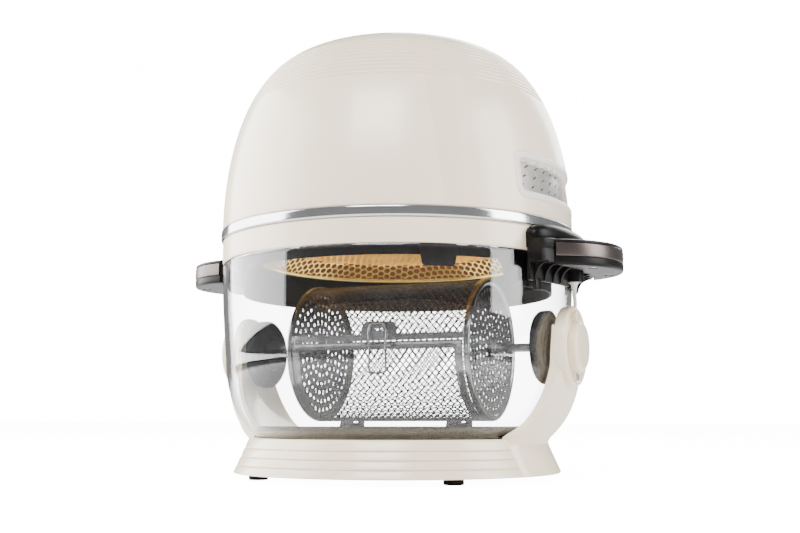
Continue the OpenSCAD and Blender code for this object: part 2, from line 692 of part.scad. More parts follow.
// D-shaped slice of a handle, round at the tip and cut back to its root
module paddle(inset, root, z0, z1) difference() {
  translate([grip_x, 0, z0]) cylinder(r=grip_r - inset, h=z1 - z0, $fn=160);
  translate([0, 0, z0 - 1]) cylinder(r=root, h=z1 - z0 + 2, $fn=160);
}
screw_x = bracket_r + 10;
screw_y = 22;
module grip_body(root) difference() {
  union() {
    paddle(0, root, grip_z0, trim_z0);
    paddle(trim_t, root, trim_z0, trim_z0 + trim_h);
    paddle(0, root, trim_z0 + trim_h, grip_z1);
  }
  for (s = [-1, 1]) translate([screw_x, s * screw_y, grip_z0 - 1]) {
    cylinder(r=3.4, h=3.4, $fn=48);
    cylinder(r=1.55, h=12, $fn=48);
  }
}
module grip_right() color("#2a2829") grip_body(bracket_r);
module grip_left() color("#2a2829") mirror_left() grip_body(root_r);
module trim_body(root) difference() {
  paddle(0, root, trim_z0, trim_z0 + trim_h);
  translate([grip_x, 0, trim_z0 - 1]) cylinder(r=grip_r - trim_t, h=trim_h + 2, $fn=160);
}
module trim_right() color("#7b7674") trim_body(bracket_r);
module trim_left() color("#7b7674") mirror_left() trim_body(root_r);

// Rounded cover over the right handle's root, where the lead's wires run into the head
cover_top = ring_top + 2;
cover_r = bracket_r - 5;
cover_round = 7;
module root_cover() color("#2f2d2f") intersection() {
  rotate_extrude($fn=160) polygon(concat(
    [[ring_r, grip_z1], [cover_r, grip_z1]],
    [for (a = spread(0, 90, 8))
      [cover_r - cover_round + cover_round * cos(a), cover_top - cover_round + cover_round * sin(a)]],
    [[band_r + 0.2, cover_top], [band_r + 0.2, ring_top - 0.3], [ring_r, ring_top - 0.3]]));
  sector(bracket_half, 0, 300);
}

module handle_screw() {
  cylinder(r=3, h=2, $fn=48);
  cylinder(r=1.5, h=9, $fn=48);
}
module handle_screws() color("#8a8c8e") for (m = [0, 1]) mirror([m, 0, 0]) for (s = [-1, 1])
  translate([screw_x, s * screw_y, grip_z0 + 0.4]) handle_screw();

module lead_socket() color("#1b1b1c") difference() {
  translate([lead_x, 0, socket_z]) cylinder(r=pocket_r - 0.1, h=14, $fn=48);
  translate([lead_x, 0, socket_z - 1]) cylinder(r=4.4, h=11.4, $fn=48);
  cylinder(r=bracket_in, h=rim_z, $fn=160);
}

/* Mains inlet at the back */

inlet_face = dome_out(inlet_z) - 1.6;
module inlet() color("#1c1c1e") translate([0, inlet_face, inlet_z]) rotate([90, 0, 0]) difference() {
  translate([-inlet_w / 2, -inlet_h / 2, 0]) cube([inlet_w, inlet_h, 22]);
  difference() {
    translate([-12, -8.5, -1]) cube([24, 17, 17]);
    for (x = [-7, 0, 7]) translate([x - 1, x == 0 ? 0.5 : -3.5, -2]) cube([2, 4, 20]);
  }
}

base_shell();
bottom_plate();
drip_tray();
foot(0);  // foot_1
foot(1);  // foot_2
foot(2);  // foot_3
foot(3);  // foot_4
arm_right();
arm_left();
pod_body();
pod_lid();
pod_screw();
gearmotor();
idler_cap();
lead();
lead_plug();
magnet_rotor();
glass_bowl();
hub_right();
hub_left();
basket_mesh();
basket_cap_right();
basket_cap_left();
basket_frame();
rod_right();
rod_left();
drive_socket();
idler_socket();
latch_catch();
door_frame();
door_mesh();
latch_bail();
dome_shell();
steel_band();
lower_ring();
vent_right();
vent_left();
touch_panel();
control_board();
chassis();
motor();
heating_element();
guard();
heat_shield();
air_skirt();
bracket_right();
bracket_left();
grip_right();
grip_left();
trim_right();
trim_left();
root_cover();
inlet();
handle_screws();
thermostat();
lead_socket();
motor_shaft();
convection_fan();
cooling_fan();
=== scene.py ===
import math

import bmesh
import bpy
from mathutils import Matrix, Vector


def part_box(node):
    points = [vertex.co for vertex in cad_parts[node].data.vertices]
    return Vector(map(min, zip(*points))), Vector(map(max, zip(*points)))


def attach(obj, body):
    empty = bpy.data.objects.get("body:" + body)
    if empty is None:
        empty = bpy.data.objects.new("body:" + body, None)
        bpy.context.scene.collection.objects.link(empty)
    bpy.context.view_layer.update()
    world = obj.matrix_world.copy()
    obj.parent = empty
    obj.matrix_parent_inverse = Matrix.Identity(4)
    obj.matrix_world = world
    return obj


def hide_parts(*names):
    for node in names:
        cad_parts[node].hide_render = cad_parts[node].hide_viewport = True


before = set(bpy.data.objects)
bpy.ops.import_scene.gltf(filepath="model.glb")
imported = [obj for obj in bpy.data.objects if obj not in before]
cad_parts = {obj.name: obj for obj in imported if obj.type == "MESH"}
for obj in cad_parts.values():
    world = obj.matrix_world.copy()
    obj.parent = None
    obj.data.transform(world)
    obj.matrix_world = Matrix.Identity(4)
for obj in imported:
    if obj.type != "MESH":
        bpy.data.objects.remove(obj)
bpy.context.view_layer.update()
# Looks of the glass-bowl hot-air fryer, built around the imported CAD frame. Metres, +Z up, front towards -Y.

MM = 0.001

# ---------------------------------------------------------------- sizes, from the frame
bowl_lo, bowl_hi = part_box("glass_bowl")
ring_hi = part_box("lower_ring")[1]
band_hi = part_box("steel_band")[1]
dome_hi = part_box("dome_shell")[1]
base_lo, base_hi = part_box("base_shell")
panel_lo, panel_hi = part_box("touch_panel")
mesh_lo, mesh_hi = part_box("basket_mesh")
guard_lo, guard_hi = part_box("guard")
skirt_lo, skirt_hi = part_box("air_skirt")
shield_lo, shield_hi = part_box("heat_shield")

AXIS_Z = (mesh_lo.z + mesh_hi.z) / 2
BASKET_R = (mesh_hi.z - mesh_lo.z) / 2
BOWL_FLOOR = bowl_lo.z
RIM_Z = bowl_hi.z
RIM_R = bowl_hi.x
RING_R = ring_hi.x
RING_TOP = ring_hi.z
BAND_R = band_hi.x
BAND_TOP = band_hi.z
DOME_R = dome_hi.x
DOME_H = panel_hi.z - BAND_TOP
BASE_TOP = base_hi.z
BASE_LOW = base_lo.z
BASE_R = base_hi.y
GUARD_R = guard_hi.x
GUARD_LOW = guard_lo.z
SHIELD_LOW = shield_lo.z

# Sizes that the bowl and the base share with the CAD design
BOWL_R = 129.7 * MM
BOWL_CURVE = 77.5 * MM
WIDEST_Z = BOWL_FLOOR + 64 * MM
GLASS_T = 3.5 * MM
GLASS_FLOOR = 4 * MM
BASE_TOP_R = 111.3 * MM
ARM_GAP = 1.5 * MM
ARM_T = 8 * MM
ARM_FOOT_HALF = 44 * MM
DISH_R = 29 * MM


def egg(radius, height, up):
    """Radius of a rounded shell at a height above its widest ring."""
    return radius * max(0.0, 1 - (up / height) ** 2) ** 0.25


def bowl_out(z):
    if z < WIDEST_Z:
        return egg(BOWL_R, BOWL_CURVE, WIDEST_Z - z)
    rise = (z - WIDEST_Z) / (RIM_Z - WIDEST_Z)
    return BOWL_R + (RIM_R - BOWL_R) * math.sin(math.pi / 2 * rise)


def dome_out(z):
    return egg(DOME_R, DOME_H, z - BAND_TOP)


def base_out(z):
    share = (z - BASE_LOW) / (BASE_TOP - BASE_LOW)
    return BASE_R + (BASE_TOP_R - BASE_R) * share


def spread(start, stop, count):
    """count + 1 evenly spaced values from start to stop."""
    return [start + (stop - start) * i / count for i in range(count + 1)]


def smooth_step(x):
    x = min(1.0, max(0.0, x))
    return x * x * (3 - 2 * x)


# ---------------------------------------------------------------- mesh helpers
def raw_piece(name, verts, faces):
    """A new object from plain vertices and faces, as they are."""
    mesh = bpy.data.meshes.new(name)
    mesh.from_pydata([tuple(v) for v in verts], [], faces)
    piece = bpy.data.objects.new(name, mesh)
    bpy.context.collection.objects.link(piece)
    return piece


def fix_normals(piece, doubles=None, thin=None):
    """Turns the faces outward, after merging doubles and dissolving thin faces where asked."""
    bm = bmesh.new()
    bm.from_mesh(piece.data)
    if doubles:
        bmesh.ops.remove_doubles(bm, verts=bm.verts, dist=doubles)
    if thin:
        bmesh.ops.dissolve_degenerate(bm, edges=bm.edges, dist=thin)
    bmesh.ops.recalc_face_normals(bm, faces=bm.faces)
    bm.to_mesh(piece.data)
    bm.free()


def new_piece(name, verts, faces):
    """A new object with doubles merged and faces turned outward."""
    piece = raw_piece(name, verts, faces)
    fix_normals(piece, doubles=1e-6, thin=1e-7)
    return piece


def apply_modifiers(piece):
    graph = bpy.context.evaluated_depsgraph_get()
    mesh = bpy.data.meshes.new_from_object(piece.evaluated_get(graph))
    piece.modifiers.clear()
    piece.data = mesh


def cut(piece, cutter):
    """Takes the cutter's solid out of the piece."""
    change = piece.modifiers.new("cut", "BOOLEAN")
    change.operation = "DIFFERENCE"
    change.solver = "EXACT"
    change.object = cutter
    apply_modifiers(piece)
    bpy.data.objects.remove(cutter)


def soften(piece, width, segments=2, angle=35):
    """Rounds the piece's sharp edges."""
    change = piece.modifiers.new("soften", "BEVEL")
    change.width = width
    change.segments = segments
    change.limit_method = "ANGLE"
    change.angle_limit = math.radians(angle)
    apply_modifiers(piece)


def done(piece, material, body, replaces=(), sharp=40):
    """Shades a finished piece, gives it its material and slot, and lets it ride on its body."""
    mesh = piece.data
    mesh.materials.clear()
    mesh.materials.append(material)
    mesh.polygons.foreach_set("use_smooth", [True] * len(mesh.polygons))
    mesh.set_sharp_from_angle(angle=math.radians(sharp))
    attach(piece, body)
    if replaces:
        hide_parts(*replaces)
    return piece


def join(name, pieces):
    """One object from several, without changing their shapes."""
    verts, faces = [], []
    for piece in pieces:
        start = len(verts)
        verts += [piece.matrix_world @ v.co for v in piece.data.vertices]
        faces += [[start + i for i in p.vertices] for p in piece.data.polygons]
        bpy.data.objects.remove(piece)
    return raw_piece(name, verts, faces)


def loops_mesh(name, loops, close_stack=False, cap=False):
    """Quads between neighbouring loops of points; cap fills the first and last loop."""
    count = len(loops[0])
    verts = [p for loop in loops for p in loop]
    faces = []
    stacks = len(loops) if close_stack else len(loops) - 1
    for k in range(stacks):
        below, above = k * count, (k + 1) % len(loops) * count
        for i in range(count):
            j = (i + 1) % count
            faces.append([below + i, below + j, above + j, above + i])
    if cap:
        faces.append(list(range(count - 1, -1, -1)))
        faces.append([(len(loops) - 1) * count + i for i in range(count)])
    return new_piece(name, verts, faces)


def filleted(corners, steps=4):
    """Points of a closed outline whose corners (x, y, radius) are rounded."""
    out = []
    count = len(corners)
    for i, (x, y, radius) in enumerate(corners):
        here = Vector((x, y))
        back = Vector(corners[i - 1][:2]) - here
        ahead = Vector(corners[(i + 1) % count][:2]) - here
        reach = min(radius, back.length * 0.49, ahead.length * 0.49)
        if reach <= 0:
            out.append((x, y))
            continue
        first, last = here + back.normalized() * reach, here + ahead.normalized() * reach
        for t in spread(0, 1, steps):
            p = first * (1 - t) ** 2 + here * 2 * t * (1 - t) + last * t * t
            out.append((p.x, p.y))
    return out


def lathe(name, profile, segments=192, closed=True):
    """Turns (radius, z) points about the Z axis."""
    angles = [math.radians(360.0 * i / segments) for i in range(segments)]
    loops = [[(r * math.cos(a), r * math.sin(a), z) for a in angles] for r, z in profile]
    return loops_mesh(name, loops, close_stack=closed)


def turn_to_x(piece, mirrored=False):
    """Lays a piece lathed about Z along the basket's axis: its z becomes x."""
    side = -1 if mirrored else 1
    for v in piece.data.vertices:
        x, y, z = v.co
        v.co = (side * z, y, AXIS_Z - x)
    fix_normals(piece)
    return piece


def mirror_x(piece):
    for v in piece.data.vertices:
        v.co.x = -v.co.x
    fix_normals(piece)
    return piece


def tube(name, points, radius, sides=12, closed=False):
    """A round tube along points, with a frame carried from point to point."""
    points = [Vector(p) for p in points]
    count = len(points)
    loops = []
    normal = None
    for i, p in enumerate(points):
        ahead = points[(i + 1) % count] if closed or i < count - 1 else p
        behind = points[i - 1] if closed or i > 0 else p
        along = (ahead - behind).normalized()
        if normal is None:
            normal = along.orthogonal().normalized()
        normal = (normal - along * normal.dot(along)).normalized()
        side = along.cross(normal)
        angles = [2 * math.pi * k / sides for k in range(sides)]
        loops.append([p + radius * (math.cos(a) * normal + math.sin(a) * side) for a in angles])
    return loops_mesh(name, loops, close_stack=closed, cap=not closed)


def bend(points, radius, steps=4, closed=False):
    """Rounds the corners of a path in space."""
    out = []
    count = len(points)
    for i, p in enumerate(points):
        here = Vector(p)
        if not closed and i in (0, count - 1):
            out.append(here)
            continue
        back = Vector(points[i - 1]) - here
        ahead = Vector(points[(i + 1) % count]) - here
        reach = min(radius, back.length * 0.45, ahead.length * 0.45)
        first, last = here + back.normalized() * reach, here + ahead.normalized() * reach
        out += [first * (1 - t) ** 2 + here * 2 * t * (1 - t) + last * t * t for t in spread(0, 1, steps)]
    return out


def block(name, low, high):
    """A box between two corners, meant to be cut with or softened."""
    (x0, y0, z0), (x1, y1, z1) = low, high
    verts = [(x, y, z) for z in (z0, z1) for x, y in ((x0, y0), (x1, y0), (x1, y1), (x0, y1))]
    faces = [[3, 2, 1, 0], [4, 5, 6, 7], [0, 1, 5, 4], [1, 2, 6, 5], [2, 3, 7, 6], [3, 0, 4, 7]]
    return new_piece(name, verts, faces)


def prism_x(name, outline, x0, x1):
    """An outline drawn in (y, z), carried from x0 to x1."""
    loops = [[(x, y, z) for y, z in outline] for x in (x0, x1)]
    return loops_mesh(name, loops, cap=True)


def prism_z(name, outline, z0, z1):
    """An outline drawn in (x, y), carried from z0 to z1."""
    loops = [[(x, y, z) for x, y in outline] for z in (z0, z1)]
    return loops_mesh(name, loops, cap=True)


def circle(x, y, radius, sides):
    return [(x + radius * math.cos(a), y + radius * math.sin(a)) for a in spread(0, 2 * math.pi,
                                                                                 sides)[:-1]]


def lathe_x(name, corners, steps, segments, mirrored=False):
    """Turns filleted corners (radius, x, fillet) about the basket's axis."""
    return turn_to_x(lathe(name, filleted(corners, steps), segments), mirrored)


def side_name(mirrored):
    return "left" if mirrored else "right"


def outward(low, high, mirrored):
    """The near and far x of a box, measured outward from the middle."""
    return (-high.x, -low.x) if mirrored else (low.x, high.x)


# ---------------------------------------------------------------- materials
def material(name, colour, rough, metal=0.0, shade=0.06, blotch=18.0, grain=900.0, relief=0.02,
             brushed=None, coat=0.0, specular=0.5, glow=None):
    """A procedural surface: colour that drifts a little, uneven gloss and a fine relief."""
    m = bpy.data.materials.new(name)
    m.use_nodes = True
    nodes, links = m.node_tree.nodes, m.node_tree.links
    shader = nodes["Principled BSDF"]
    shader.inputs["Metallic"].default_value = metal
    shader.inputs["Coat Weight"].default_value = coat
    shader.inputs["Coat Roughness"].default_value = 0.08
    shader.inputs["Specular IOR Level"].default_value = specular
    place = nodes.new("ShaderNodeTexCoord")
    drift = nodes.new("ShaderNodeTexNoise")
    drift.inputs["Scale"].default_value = blotch
    drift.inputs["Detail"].default_value = 4
    links.new(place.outputs["Object"], drift.inputs["Vector"])
    ramp = nodes.new("ShaderNodeValToRGB")
    ramp.color_ramp.elements[0].position = 0.3
    ramp.color_ramp.elements[1].position = 0.7
    ramp.color_ramp.elements[0].color = [c * (1 - shade) for c in colour] + [1]
    ramp.color_ramp.elements[1].color = [min(1, c * (1 + shade * 0.5)) for c in colour] + [1]
    links.new(drift.outputs["Fac"], ramp.inputs["Fac"])
    links.new(ramp.outputs["Color"], shader.inputs["Base Color"])
    stretch = nodes.new("ShaderNodeMapping")
    stretch.inputs["Scale"].default_value = brushed or (1, 1, 1)
    links.new(place.outputs["Object"], stretch.inputs["Vector"])
    fine = nodes.new("ShaderNodeTexNoise")
    fine.inputs["Scale"].default_value = grain
    fine.inputs["Detail"].default_value = 3
    links.new(stretch.outputs["Vector"], fine.inputs["Vector"])
    gloss = nodes.new("ShaderNodeMapRange")
    gloss.inputs["To Min"].default_value = rough * 0.85
    gloss.inputs["To Max"].default_value = min(1.0, rough * 1.2)
    links.new(fine.outputs["Fac"], gloss.inputs["Value"])
    links.new(gloss.outputs["Result"], shader.inputs["Roughness"])
    bump = nodes.new("ShaderNodeBump")
    bump.inputs["Strength"].default_value = relief
    bump.inputs["Distance"].default_value = 0.0004
    links.new(fine.outputs["Fac"], bump.inputs["Height"])
    links.new(bump.outputs["Normal"], shader.inputs["Normal"])
    if glow:
        shader.inputs["Emission Color"].default_value = (*glow[:3], 1)
        shader.inputs["Emission Strength"].default_value = glow[3]
    return m


def glass_material():
    """Clear thin glass that lets the lamps light what stands inside it."""
    m = bpy.data.materials.new("glass_clear")
    m.use_nodes = True
    nodes, links = m.node_tree.nodes, m.node_tree.links
    shader = nodes["Principled BSDF"]
    shader.inputs["Base Color"].default_value = (0.985, 0.99, 0.99, 1)
    shader.inputs["Transmission Weight"].default_value = 1.0
    shader.inputs["IOR"].default_value = 1.45
    place = nodes.new("ShaderNodeTexCoord")
    wave = nodes.new("ShaderNodeTexNoise")
    wave.inputs["Scale"].default_value = 9
    links.new(place.outputs["Object"], wave.inputs["Vector"])
    gloss = nodes.new("ShaderNodeMapRange")
    gloss.inputs["To Min"].default_value = 0.0
    gloss.inputs["To Max"].default_value = 0.02
    links.new(wave.outputs["Fac"], gloss.inputs["Value"])
    links.new(gloss.outputs["Result"], shader.inputs["Roughness"])
    open_way = nodes.new("ShaderNodeBsdfTransparent")
    open_way.inputs["Color"].default_value = (0.97, 0.98, 0.98, 1)
    mix = nodes.new("ShaderNodeMixShader")
    path = nodes.new("ShaderNodeLightPath")
    links.new(path.outputs["Is Shadow Ray"], mix.inputs["Fac"])
    links.new(shader.outputs["BSDF"], mix.inputs[1])
    links.new(open_way.outputs["BSDF"], mix.inputs[2])
    links.new(mix.outputs["Shader"], nodes["Material Output"].inputs["Surface"])
    return m


CREAM = material("cream_gloss", (0.84, 0.72, 0.54), 0.24, shade=0.02, coat=0.2, relief=0.01, grain=500)
VENT = material("vent_plastic", (0.74, 0.70, 0.64), 0.3, shade=0.04, relief=0.03)
SCREEN = material("vent_screen", (0.50, 0.48, 0.45), 0.3, metal=0.7, shade=0.12, relief=0.05)
DARK = material("dark_plastic", (0.0025, 0.002, 0.002), 0.34, shade=0.25, grain=1600, relief=0.08,
                specular=0.12)
PAD = material("pad_plastic", (0.0015, 0.0015, 0.003), 0.5, shade=0.2, grain=1400, relief=0.05,
               specular=0.04)
SHIELD_BLACK = material("shield_black", (0.004, 0.003, 0.003), 0.45, shade=0.3, relief=0.06, specular=0.15)
# Heater cavity: its brown-gold tint and its glow are painted light, a painted reflection of the heater's warm
# glow on the walls.
CAVITY_PAINTED_GLOW = material("cavity_painted_glow", (0.16, 0.06, 0.012), 0.38, metal=0.6, shade=0.3, blotch=30, relief=0.08,
                  glow=(1.0, 0.42, 0.08, 0.06))
RUBBER = material("rubber_black", (0.006, 0.006, 0.006), 0.7, shade=0.3, grain=2500, relief=0.2,
                  specular=0.15)
CORD = material("cord_cream", (0.78, 0.72, 0.62), 0.4, shade=0.05, relief=0.06)
BAND = material("band_steel", (0.66, 0.67, 0.68), 0.12, metal=1.0, shade=0.05, grain=60,
                brushed=(1, 1, 60), relief=0.03)
TRIM = material("trim_gunmetal", (0.10, 0.082, 0.076), 0.3, metal=1.0, shade=0.08, grain=60,
                brushed=(1, 1, 30), relief=0.03)
PLATE = material("plate_steel", (0.035, 0.034, 0.033), 0.12, metal=1.0, shade=0.1, relief=0.0)
STEEL = material("basket_steel", (0.22, 0.22, 0.225), 0.17, metal=1.0, shade=0.45, blotch=120, relief=0.05)
NET = material("net_steel", (0.105, 0.105, 0.11), 0.25, metal=1.0, shade=0.5, blotch=160, relief=0.05)
# Guard: the gold is its own colour, but its glow is a painted glow, standing in for warm light falling on the
# guard from below.
GOLD_PAINTED_GLOW = material("guard_gold_painted_glow", (1.0, 0.72, 0.22), 0.2, metal=0.95, shade=0.25, blotch=45, relief=0.04,
                glow=(1.0, 0.62, 0.16, 0.24))
ALU = material("sheet_metal", (0.55, 0.55, 0.57), 0.35, metal=1.0, shade=0.12, relief=0.08)
MOTOR = material("motor_metal", (0.12, 0.12, 0.125), 0.42, metal=0.9, shade=0.2, relief=0.12)
ELEMENT = material("element_oxide", (0.20, 0.07, 0.045), 0.5, metal=0.4, shade=0.4, blotch=50,
                   relief=0.2, glow=(1.0, 0.4, 0.1, 2.0))
FAN = material("fan_plastic", (0.01, 0.01, 0.011), 0.5, shade=0.2, relief=0.1, specular=0.2)
PANEL = material("panel_black", (0.004, 0.004, 0.0045), 0.08, shade=0.2, coat=0.4, relief=0.004,
                 specular=0.4)
BOARD = material("board_green", (0.02, 0.10, 0.05), 0.4, shade=0.25, blotch=90, relief=0.1)
ICON = material("panel_marks", (0.6, 0.62, 0.64), 0.5, shade=0.05, glow=(0.8, 0.9, 1.0, 0.5))
GLASS = glass_material()


# ---------------------------------------------------------------- base
def build_base():
    tiers = 4
    tier_h = (BASE_TOP - BASE_LOW - 1.5 * MM) / tiers
    corners = [(BASE_R - 4 * MM, BASE_LOW, 0), (BASE_R, BASE_LOW, 1.2 * MM)]
    for k in range(tiers):
        top = BASE_LOW + (k + 1) * tier_h
        corners.append((base_out(top - 0.3 * MM), top - 0.4 * MM, 0.9 * MM))
        if k < tiers - 1:
            corners.append((base_out(top) - 1.3 * MM, top, 0.4 * MM))
            corners.append((base_out(top + 0.6 * MM) - 0.1 * MM, top + 0.5 * MM, 0.5 * MM))
    seat = bowl_out(BASE_TOP) + 0.8 * MM
    corners += [(BASE_TOP_R - 0.5 * MM, BASE_TOP, 1.2 * MM), (seat, BASE_TOP, 0.8 * MM),
                (bowl_out(BOWL_FLOOR) + 1.2 * MM, BOWL_FLOOR - 0.1 * MM, 0.5 * MM),
                (40 * MM, BOWL_FLOOR - 0.1 * MM, 0), (40 * MM, BOWL_FLOOR - 4 * MM, 0),
                (BASE_TOP_R - 6 * MM, BOWL_FLOOR - 4 * MM, 0), (BASE_R - 4 * MM, BASE_LOW + 2 * MM, 0)]
    shell = lathe("base_body", filleted(corners, 3), 256)
    foot_half = ARM_FOOT_HALF
    near = bowl_out(BASE_TOP) - 2 * MM
    cutters = []
    for side in (-1, 1):
        arc = spread(-foot_half, foot_half, 24)
        outline = [(side * math.sqrt(near * near - y * y), y) for y in arc]
        outline += [(side * 0.16, foot_half), (side * 0.16, -foot_half)]
        cutters.append(prism_z("cutter", outline, -0.01, 0.06))
    cut(shell, join("foot_cutters", cutters))
    done(shell, CREAM, "base", ["base_shell"])
    for i in range(4):
        name = f"foot_{i + 1}"
        low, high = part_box(name)
        r = (high.x - low.x) / 2
        rings = [(0.1 * MM, 0, 0), (r - 1.6 * MM, 0, 0), (r, 0.2 * MM, 0.9 * MM), (r, high.z, 0),
                 (0.1 * MM, high.z, 0)]
        foot = lathe(f"rubber_{name}", filleted(rings, 3), 40)
        for v in foot.data.vertices:
            v.co.x += (low.x + high.x) / 2
            v.co.y += (low.y + high.y) / 2
        done(foot, RUBBER, "base", [name])


def arm_half(z):
    """Half the width of an arm at a height."""
    if z <= BASE_TOP:
        return ARM_FOOT_HALF
    waist = AXIS_Z - 14 * MM
    share = smooth_step((z - BASE_TOP) / (12 * MM))
    lower = ARM_FOOT_HALF + (38 * MM - ARM_FOOT_HALF) * share
    taper = min(1.0, max(0.0, (z - BASE_TOP - 3 * MM) / (waist - BASE_TOP - 3 * MM)))
    return lower + (25.6 * MM - 38 * MM) * taper ** 0.9


def arm_radii(z):
    """Inner and outer radius of an arm at a height, with a soft waist where it leaves the base."""
    strap_out = bowl_out(z) + ARM_GAP + ARM_T
    outer = base_out(min(z, BASE_TOP))
    if z >= BASE_LOW + 4 * MM:
        foot_out = outer if z < BASE_TOP else outer - (z - BASE_TOP) * 1.2
        soft, level = 2.0 * MM, 0.12
        blend = math.exp((strap_out - level) / soft) + math.exp((foot_out - level) / soft)
        outer = soft * math.log(blend) + level
    inner = bowl_out(z) + ARM_GAP if z >= BASE_TOP else max(bowl_out(BASE_TOP) + 0.3 * MM, outer - 6 * MM)
    return inner, outer


def arm_loop(z, inset=0.0):
    inner, outer = arm_radii(z)
    half = arm_half(z) - inset
    outer -= inset
    corner = min(3.2 * MM, (outer - inner) * 0.48)
    points = []
    for y in spread(-half, half, 16):
        edge = max(0.0, abs(y) - (half - corner)) / corner
        drop = corner * (1 - math.sqrt(max(0.0, 1 - min(1.0, edge) ** 2)))
        points.append((math.sqrt(outer ** 2 - y * y) - drop, y, z))
    for y in spread(half, -half, 16):
        points.append((math.sqrt(max(inner, 0.02) ** 2 - y * y), y, z))
    return points


def build_arm(mirrored):
    top = AXIS_Z + 14 * MM
    levels = [BASE_LOW, BASE_LOW + 0.4 * MM, BASE_LOW + 1.2 * MM]
    levels += spread(BASE_LOW + 2.5 * MM, BASE_TOP + 8 * MM, 14)[1:] + spread(BASE_TOP + 8 * MM, top,
                                                                              24)[1:]
    insets = [1.2 * MM, 0.4 * MM, 0.0]
    loops = [arm_loop(z, insets[i] if i < 3 else 0.0) for i, z in enumerate(levels)]
    strap = loops_mesh("strap", loops, cap=True)
    back, floor, face = bowl_out(AXIS_Z) + ARM_GAP, pod_lo.x, arm_hi.x
    web = floor - 2 * MM
    bore, flat_r = 3.1 * MM, 19 * MM
    rim = [(bore, web, 0), (flat_r, web, 0), (flat_r, back, 0.3 * MM), (DISH_R - 1 * MM, back, 1 * MM),
           (DISH_R, back + 3 * MM, 2 * MM), (DISH_R, face - 1.8 * MM, 2.2 * MM),
           (DISH_R - 1.6 * MM, face, 1.4 * MM), (DISH_R - 3 * MM, face - 0.2 * MM, 1 * MM),
           (DISH_R - 4.6 * MM, floor + 1.2 * MM, 2 * MM), (flat_r, floor, 2 * MM), (bore, floor, 0)]
    dish = lathe_x("dish", rim, 5, 128)
    arm = join("arm_moulding_" + side_name(mirrored), [strap, dish])
    if mirrored:
        mirror_x(arm)
    done(arm, CREAM, "base", ["arm_" + side_name(mirrored)])


pod_lo, pod_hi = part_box("pod_body")
lid_lo, lid_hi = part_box("pod_lid")
arm_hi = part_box("arm_right")[1]


def build_pod():
    r = (lid_hi.z - lid_lo.z) / 2
    x0, x1 = pod_lo.x, pod_hi.x
    can = [(3.1 * MM, x0, 0), (r + 2.5 * MM, x0, 0), (r + 2.5 * MM, x0 + 1.5 * MM, 0.7 * MM),
           (r + 0.1 * MM, x0 + 1.7 * MM, 0.3 * MM), (r, x1, 0.2 * MM), (r - 1.5 * MM, x1, 0.2 * MM),
           (r - 1.5 * MM, x0 + 1 * MM, 0), (3.1 * MM, x0 + 1 * MM, 0)]
    body = lathe_x("can", can, 4, 96)
    half = 5 * MM
    tab_top = pod_hi.z
    tab = prism_x("tab", filleted([(-half, AXIS_Z + r - 2 * MM, 0), (half, AXIS_Z + r - 2 * MM, 0),
                                   (half, tab_top, 3 * MM), (-half, tab_top, 3 * MM)], 6), x0, x0 + 5 * MM)
    soften(tab, 0.8 * MM, 3)
    tail = prism_x("tail",
                   filleted([(-4.5 * MM, AXIS_Z - r + 2 * MM, 0), (-4 * MM, pod_lo.z + 1 * MM, 4 * MM),
                                     (4 * MM, pod_lo.z + 1 * MM, 4 * MM),
                                     (4.5 * MM, AXIS_Z - r + 2 * MM, 0)], 6),
                   x0, x0 + 3 * MM)
    soften(tail, 0.6 * MM, 3)
    done(join("pod_can", [body, tab, tail]), CREAM, "base", ["pod_body"])
    top = lid_hi.x
    cap = [(0.05 * MM, x1, 0), (r, x1, 0), (r + 0.15 * MM, x1 + 0.9 * MM, 0.6 * MM),
           (r - 1.5 * MM, x1 + 1.5 * MM, 0.5 * MM), (r - 2.2 * MM, top, 1 * MM),
           (0.05 * MM, top - 0.2 * MM, 0)]
    done(lathe_x("pod_cover", cap, 5, 96), CREAM, "base", ["pod_lid"])
    tip = -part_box("idler_cap")[0].x
    disc = [(0.05 * MM, x0 - 1.8 * MM, 0), (3 * MM, x0 - 1.8 * MM, 0), (3 * MM, x0, 0),
            (r + 2.5 * MM, x0, 0),
            (r + 2.5 * MM, x0 + 1.5 * MM, 0.7 * MM), (r, x0 + 1.8 * MM, 0.5 * MM),
            (r - 2.4 * MM, tip, 1.5 * MM),
            (0.05 * MM, tip - 0.3 * MM, 0)]
    done(lathe_x("idler_cover", disc, 5, 96, mirrored=True), CREAM, "base", ["idler_cap"])


LEAD_R = 1.4 * MM
lead_lo, lead_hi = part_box("lead")
plug_lo, plug_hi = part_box("lead_plug")


def build_lead():
    """The short lead that runs from the pod up to its plug under the right handle."""
    x = (plug_lo.x + plug_hi.x) / 2
    low, high = lead_lo.z, lead_hi.z
    route = [(x, 0, low), (x, 0, low + 4 * MM), (x + 0.6 * MM, -0.5 * MM, low + 9 * MM),
             (x + 0.6 * MM, -0.5 * MM, high - 7 * MM), (x, 0, high - 3 * MM), (x, 0, high)]
    cable = tube("pod_lead", bend(route, 5 * MM, 6), LEAD_R, 16)
    done(cable, CORD, "base", ["lead"])
    r = (plug_hi.x - plug_lo.x) / 2
    rings = [(0.05 * MM, plug_lo.z, 0), (LEAD_R + 0.3 * MM, plug_lo.z, 0.3 * MM),
             (LEAD_R + 0.9 * MM, plug_lo.z + 4 * MM, 0.5 * MM), (r - 0.5 * MM, plug_lo.z + 5.5 * MM,
                                                                 0.5 * MM),
             (r - 0.5 * MM, plug_hi.z, 0.5 * MM), (0.05 * MM, plug_hi.z, 0)]
    plug = lathe("pod_lead_plug", filleted(rings, 4), 48)
    for v in plug.data.vertices:
        v.co.x += x
    done(plug, CORD, "base", ["lead_plug"])


